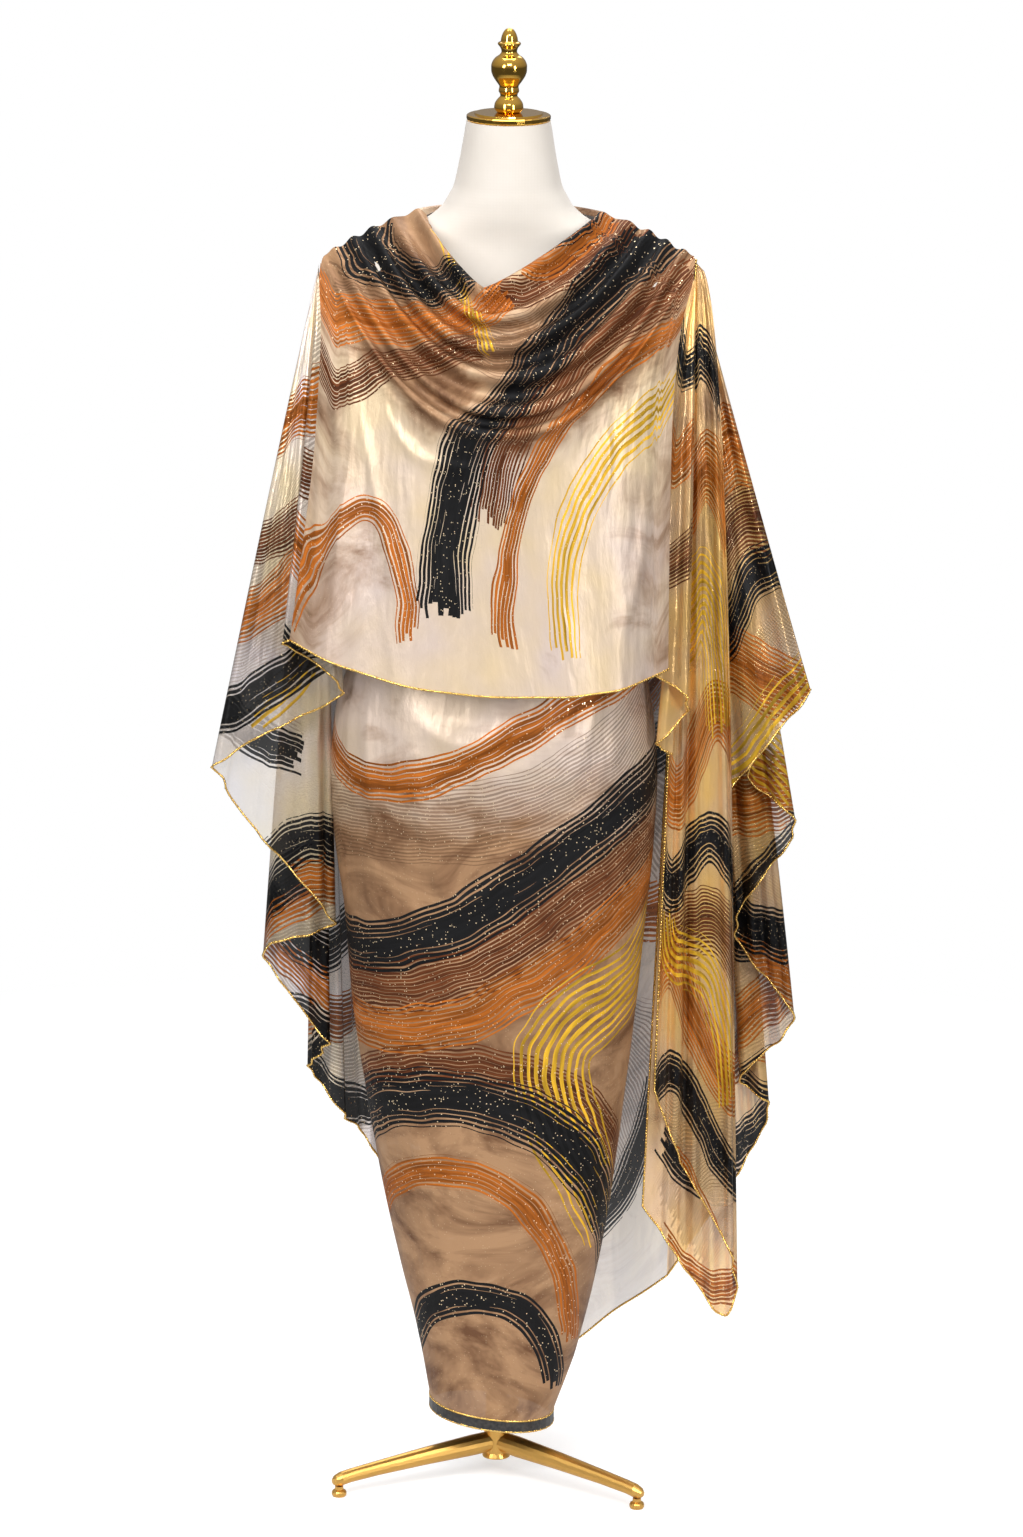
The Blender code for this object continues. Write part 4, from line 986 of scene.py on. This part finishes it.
def beaded_edge(name, paths, look):
    """A rolled edge along each path, with beads a pitch apart on it."""
    points, faces, start = [], [], 0
    ball, ball_faces = sewn_bead()
    for path in paths:
        apart = np.linalg.norm(np.diff(path, axis=0), axis=1) > 1e-6
        path = path[np.concatenate([[True], apart])]
        along = path_lengths(path)
        even = np.linspace(0, along[-1], max(int(along[-1] / ROLL_STEP), 4))
        spots = np.arange(0, along[-1], BEAD_PITCH)
        line, centres = (np.column_stack([np.interp(stops, along, path[:, k]) for k in range(3)])
                         for stops in (even, spots))
        tube, tube_faces = rolled_tube(line)
        size = BEAD_RADIUS * (1 + BEAD_UNEVEN * np.sin(np.arange(len(centres)) * 2.4))
        beads = centres[:, None] + ball[None] * size[:, None, None]
        points += [tube, beads.reshape(-1, 3)]
        faces += [tuple(start + v for v in face) for face in tube_faces]
        start += len(tube)
        for _ in centres:
            faces += [tuple(start + v for v in face) for face in ball_faces]
            start += len(ball)
    mesh = bpy.data.meshes.new(name)
    mesh.from_pydata((np.concatenate(points) + AXIS).tolist(), [], faces)
    mesh.polygons.foreach_set("use_smooth", np.ones(len(mesh.polygons), bool))
    return add_piece(name, mesh, look)


def solid_mesh(name, points, faces):
    """A smooth closed mesh that keeps its sharp corners."""
    mesh = bpy.data.meshes.new(name)
    mesh.from_pydata((np.asarray(points) + AXIS).tolist(), [], faces)
    mesh.shade_smooth()
    mesh.set_sharp_from_angle(angle=SHARP_EDGE)
    return mesh


def make_form(grid, look):
    """The padded form, smooth, closed at its underside and neck, with the seams of its cover
    sunk in as fine grooves."""
    normal = -normals_of(grid, True)
    x, y, z = grid[..., 0], grid[..., 1], grid[..., 2]
    neck_line = NECK_SEAM + NECK_SEAM_RISE * x ** 2 - NECK_SEAM_FALL * (y + 0.05)
    neck_seam = np.exp(-((z - neck_line) / NECK_SEAM_HALF) ** 2)
    centre_seam = np.exp(-(x / CENTRE_SEAM_HALF) ** 2) * (y < 0)
    deepest = np.maximum(neck_seam, centre_seam * CENTRE_SEAM_SHARE)
    sunk = grid - normal * (SEAM_DEPTH * deepest)[..., None]
    mesh = solid_mesh("padded_form", sunk.reshape(-1, 3), ring_faces(*grid.shape[:2]))
    add_piece("padded_form", mesh, look, "form_torso")


def make_finial(look):
    """The turned knob: its profile swept round the upright axis and closed at both ends."""
    around, last = FINIAL_AROUND, (FINIAL_ROWS - 1) * FINIAL_AROUND
    profile = curve_through(FINIAL, np.linspace(0, len(FINIAL) - 1, FINIAL_ROWS))
    points = np.concatenate([swept(*profile.T, around), [(0.0, 0.0, FINIAL_TIP)]])
    faces = quads(FINIAL_ROWS, around, True)[:, TURNED].tolist()
    faces += [(len(points) - 1, j, (j + 1) % around) for j in range(around)]
    faces.append([last + j for j in reversed(range(around))])
    mesh = solid_mesh("turned_finial", points, faces)
    add_piece("turned_finial", mesh, look, "form_finial")


def skirt_grid(heights):
    """Rings of the wrapped skirt. A ring's height leans with the hem at the bottom."""
    low, high = SKIRT[0][0], SKIRT[-1][0]
    rings = []
    for height, (left, right, front, back) in zip(heights, read_at(SKIRT, heights)):
        plan = level_ring((right - left) / 2, (left + right) / 2, front, back, SKIRT_AROUND)
        lean = (high - height) / (high - low)
        rings.append(np.column_stack([plan, height + lean * (plan @ HEM_LEAN)]))
    return np.stack(rings)


def make_camera():
    """The photograph's camera: a frame of its right, up and backward directions."""
    pitch, roll = math.radians(CAMERA_DOWN), math.radians(CAMERA_ROLL)
    right_level = Vector((1, 0, 0))
    up_level = Vector((0, math.sin(pitch), math.cos(pitch)))
    forward = Vector((0, math.cos(pitch), -math.sin(pitch)))
    right = right_level * math.cos(roll) + up_level * math.sin(roll)
    up = up_level * math.cos(roll) - right_level * math.sin(roll)
    data = bpy.data.cameras.new("camera")
    data.lens = SENSOR * FOCAL_PIXELS / IMAGE_HEIGHT
    data.sensor_width = SENSOR
    data.clip_end = CAMERA_REACH
    camera = bpy.data.objects.new("camera", data)
    matrix = Matrix((right, up, -forward)).transposed().to_4x4()
    matrix.translation = Vector(CAMERA_AT) + Vector(AXIS)
    camera.matrix_world = matrix
    bpy.context.collection.objects.link(camera)
    bpy.context.scene.camera = camera


def soft_light(name, place, size, power):
    """A soft box, turned to the point that all of them are aimed at."""
    data = bpy.data.lights.new(name, "AREA")
    data.shape = "RECTANGLE"
    data.size, data.size_y = size
    data.energy = power
    light = bpy.data.objects.new(name, data)
    light.location = place
    aim = Vector(LIGHT_AIM) - Vector(place)
    light.rotation_euler = aim.to_track_quat("-Z", "Y").to_euler()
    bpy.context.collection.objects.link(light)


def make_studio():
    """A pale floor, a white surround and the soft boxes. Both are white to the camera and dimmer
    to everything else, and the floor fades to white away from the part."""
    bpy.context.scene.view_settings.view_transform = "Standard"
    world = bpy.data.worlds.new("studio")
    bpy.context.scene.world = world
    world.use_nodes = True
    wire = Wire(world.node_tree)
    seen = wire.make("LightPath", None, None, 0)
    height = wire.make("TexCoord", None, None, 0).parts()[2]
    glow = height.ramp(-0.25, 0.9).colours((0.13, 0.12, 0.11, 1.0), (0.66, 0.65, 0.64, 1.0))
    shader = world.node_tree.nodes["Background"]
    feed(shader, seen.colours(glow, (1.0, 1.0, 1.0, 1.0)), "Color")
    look, paint, wire = material("floor_paint")
    spot = object_place(wire)
    far = spot.make("VectorMath", {"operation": "LENGTH"}, {0: spot}, 1).ramp(0.5, 2.2)
    feed(paint, far.colours((0.62, 0.62, 0.63, 1.0), (0.0, 0.0, 0.0, 1.0)), "Base Color")
    seen = wire.make("LightPath", None, None, 0)
    glow = far.colours((0.50, 0.50, 0.50, 1.0), (1.0, 1.0, 1.0, 1.0))
    feed(paint, seen.colours((0.10, 0.10, 0.10, 1.0), glow), "Emission Color")
    paint.inputs["Emission Strength"].default_value = 1.0
    paint.inputs["Specular IOR Level"].default_value = 0.0
    paint.inputs["Roughness"].default_value = 0.7
    mesh = bpy.data.meshes.new("floor")
    corners = ((-1, -1), (1, -1), (1, 1), (-1, 1))
    mesh.from_pydata([(x * FLOOR_REACH, y * FLOOR_REACH, 0) for x, y in corners], [],
                     [(0, 1, 2, 3)])
    mesh.materials.append(look)
    floor = bpy.data.objects.new("floor", mesh)
    bpy.context.collection.objects.link(floor)
    for light in LIGHTS:
        soft_light(*light)


def flat_places(place, grid):
    """Flat places of the front or the back, in metres: across by share and down by length."""
    across = np.broadcast_to(place * FRONT_HALF_WIDTH, grid.shape[:2])
    return np.stack([across, length_along(grid, 0)], -1)


def front_cloth(tree):
    """The front with its creases, cowl rolls and uneven waves: its piece, its grid, and its two
    side edges below the shoulders."""
    front, place, at = front_grid()
    shoulder = len(COWL) * ROWS_EACH
    sides = front[shoulder:, 0].copy(), front[shoulder:, -1].copy()
    below = np.clip((at - len(COWL) + 1.0) / len(APRON), 0, 1)[:, None]
    front = kept_off(front, tree)
    row, column = at[:, None], place[None]
    creased = CREASE_SHARE * crease_heights(front, FRONT_CREASES) * np.clip(below * 3, 0, 1)
    rolled = (0.75 + 0.25 * np.sin(2.4 * column + 0.8 * row)) * np.cos(np.pi * row)
    uneven = ripples(column * 0.25, row * 0.06, FRONT_SEED, FRONT_RIPPLES)
    raised = (creased * (1 - column ** 12)
              - ROLL_HEIGHT * rolled * (1 - column ** 4) * np.clip(len(COWL) - row, 0, 1)
              + RIPPLE_HEIGHT * uneven * (1 - column ** 6) * np.clip((row - 2) / 3, 0, 1))
    front = front - normals_of(front) * raised[..., None]
    # Brown wash: heaviest over the cowl, thinning below it and growing towards both sides. Over
    # the cowl it is partly the print's own brown and partly painted shade for the dark between the
    # cowl's rolls.
    wash = 1.10 - 0.95 * np.clip(below * 2.5, 0, 1) + 0.6 * np.abs(column) ** 3
    piece = grid_piece("front_cloth", "front_drape", front, flat_places(place, front),
                       cloth_material("front_look"), FRONT_PRINT, wash, below * 0.15, turned=True)
    return piece, front, sides


def fall_cloths(grids):
    """The fluted falls, each with less wash and a more open weave towards its hem: their pieces,
    and the paths of their free edges."""
    pale, bronze = cloth_material("fall_look"), cloth_material("bronze_look")
    pieces, edges = {}, {}
    for seed, (fall, grid) in enumerate(zip(FALLS, grids), 1):
        name, node, rows, free_sides, most_open = fall
        hem = length_along(grid, 1)[-1]
        uv = np.stack([np.broadcast_to(hem, grid.shape[:2]), length_along(grid, 0)], -1)
        down = np.linspace(0, 1, grid.shape[0])[:, None]
        behind = np.clip((uv[..., 0] / uv[:, -1:, 0] - 0.45) / 0.35, 0, 1)
        opened = most_open * down ** 2 * (1 - 0.75 * behind)
        grid = fluted(grid, uv, seed)
        paler = node == "left_fall"
        pieces[name] = grid_piece(name, node, grid, uv, pale if paler else bronze, rows,
                                  (0.22 if paler else 0.60) - 0.4 * down, opened,
                                  turned=not paler)
        free = [grid[-1]] + [grid[:, side] for side in free_sides]
        edges[name.replace("cloth", "edge")] = free
    return pieces, edges


def skirt_cloth(tree):
    """The wound skirt, with creases on its front side and washes from the hips down."""
    heights = np.linspace(SKIRT[-1][0], SKIRT[0][0] - SEAM, SKIRT_ROWS)
    skirt = kept_off(skirt_grid(heights), tree)
    in_front = np.clip(-skirt[..., 1] / 0.05, 0, 1)
    raised = CREASE_SHARE * crease_heights(skirt, SKIRT_CREASES) * in_front
    skirt = skirt - normals_of(skirt, True) * raised[..., None]
    girth = length_along(np.concatenate([skirt, skirt[:, :1]], axis=1), 1)
    v = np.linspace(0, SKIRT[-1][0] - SKIRT[0][0], SKIRT_ROWS)[:, None]
    uv = np.stack([girth - girth[:, -1:] / 2, np.broadcast_to(v, girth.shape)], -1)
    wash = 0.30 + np.clip((v - 0.22) / 0.12, 0, 1)
    return grid_piece("skirt_cloth", "skirt_wrap", skirt, uv, cloth_material("skirt_look"),
                      SKIRT_PRINT, wash, ring=True, turned=True)


def band_rings():
    """The closed paths of the rolled edges over and under the hem's dark band."""
    low, left, right, front, back = SKIRT[0]
    plan = level_ring((right - left) / 2, (left + right) / 2, front, back, SKIRT_AROUND)
    ring = np.column_stack([plan, low + plan @ HEM_LEAN])
    ring = np.concatenate([ring, ring[:1]])
    return [ring, ring - np.array([0.0, 0.0, SEAM + HEM_BAND])]


def make_cloth(tree):
    """All the stretches of the cloth, with their beaded edges."""
    gold_thread = gold_material("edge_gold", 0.26, EDGE_GOLD)
    front_piece, front, (left_edge, right_edge) = front_cloth(tree)
    left, left_places = fall_grid(LEFT_HEM, LEFT_TOP, FALL_ROWS, LEFT_CREST)
    left = following(left, left_edge, left_places)
    turn, turn_places = fall_grid(RIGHT_TURN_HEM, RIGHT_TURN_TOP, FALL_ROWS)
    turn = following(turn, right_edge, turn_places)
    right, _ = fall_grid(RIGHT_HEM, RIGHT_TOP, FALL_ROWS)
    loose, _ = fall_grid(LOOSE_END_HEM, LOOSE_END_TOP, LOOSE_ROWS)
    back, back_place, back_down = back_grid(front, left[:, -1], right[:, -1])
    back = kept_off(back, tree)
    down = back_down[:, None]

    pieces, fall_edges = fall_cloths((left, turn, right, loose))
    pieces["front_cloth"] = front_piece
    pieces["back_cloth"] = grid_piece("back_cloth", "back_drape", back,
                                      flat_places(back_place, back), cloth_material("back_look"),
                                      BACK_PRINT, 0.8 - 0.3 * down, down ** 4 * 0.8)
    pieces["skirt_cloth"] = skirt_cloth(tree)

    edges = {"front_edge": [front[-1]], **fall_edges, "back_edge": [back[-1]],
             "band_edge": band_rings()}
    rims = {name: beaded_edge(name, paths, gold_thread) for name, paths in edges.items()}


def finish_frame_nodes():
    """Finishes for the frame's own nodes, which keep their shape, and the finial."""
    bright = gold_material("polished_gold", 0.10, POLISHED)
    make_finial(bright)
    satin = gold_material("satin_gold", 0.34, SATIN)
    dark, shader, wire = material("hem_border_look")
    worn = noise(wire, object_place(wire), 300.0).ramp(0.3, 0.8)
    feed(shader, worn.colours(BLACK, WORN_BLACK), "Base Color")
    shader.inputs["Roughness"].default_value = 0.4
    finishes = {"form_neck_cap": bright, "form_finial": bright, "form_pole": satin,
                "base_hub": satin, "skirt_hem_band": dark}
    for number in (1, 2, 3):
        finishes[f"base_leg_{number}"] = satin
        finishes[f"base_foot_{number}"] = satin
    for node, look in finishes.items():
        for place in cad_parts[node].material_slots:
            place.material = look


make_camera()
make_studio()
torso, torso_tree = form_tree()
make_form(torso, linen_material())
make_cloth(torso_tree)
finish_frame_nodes()
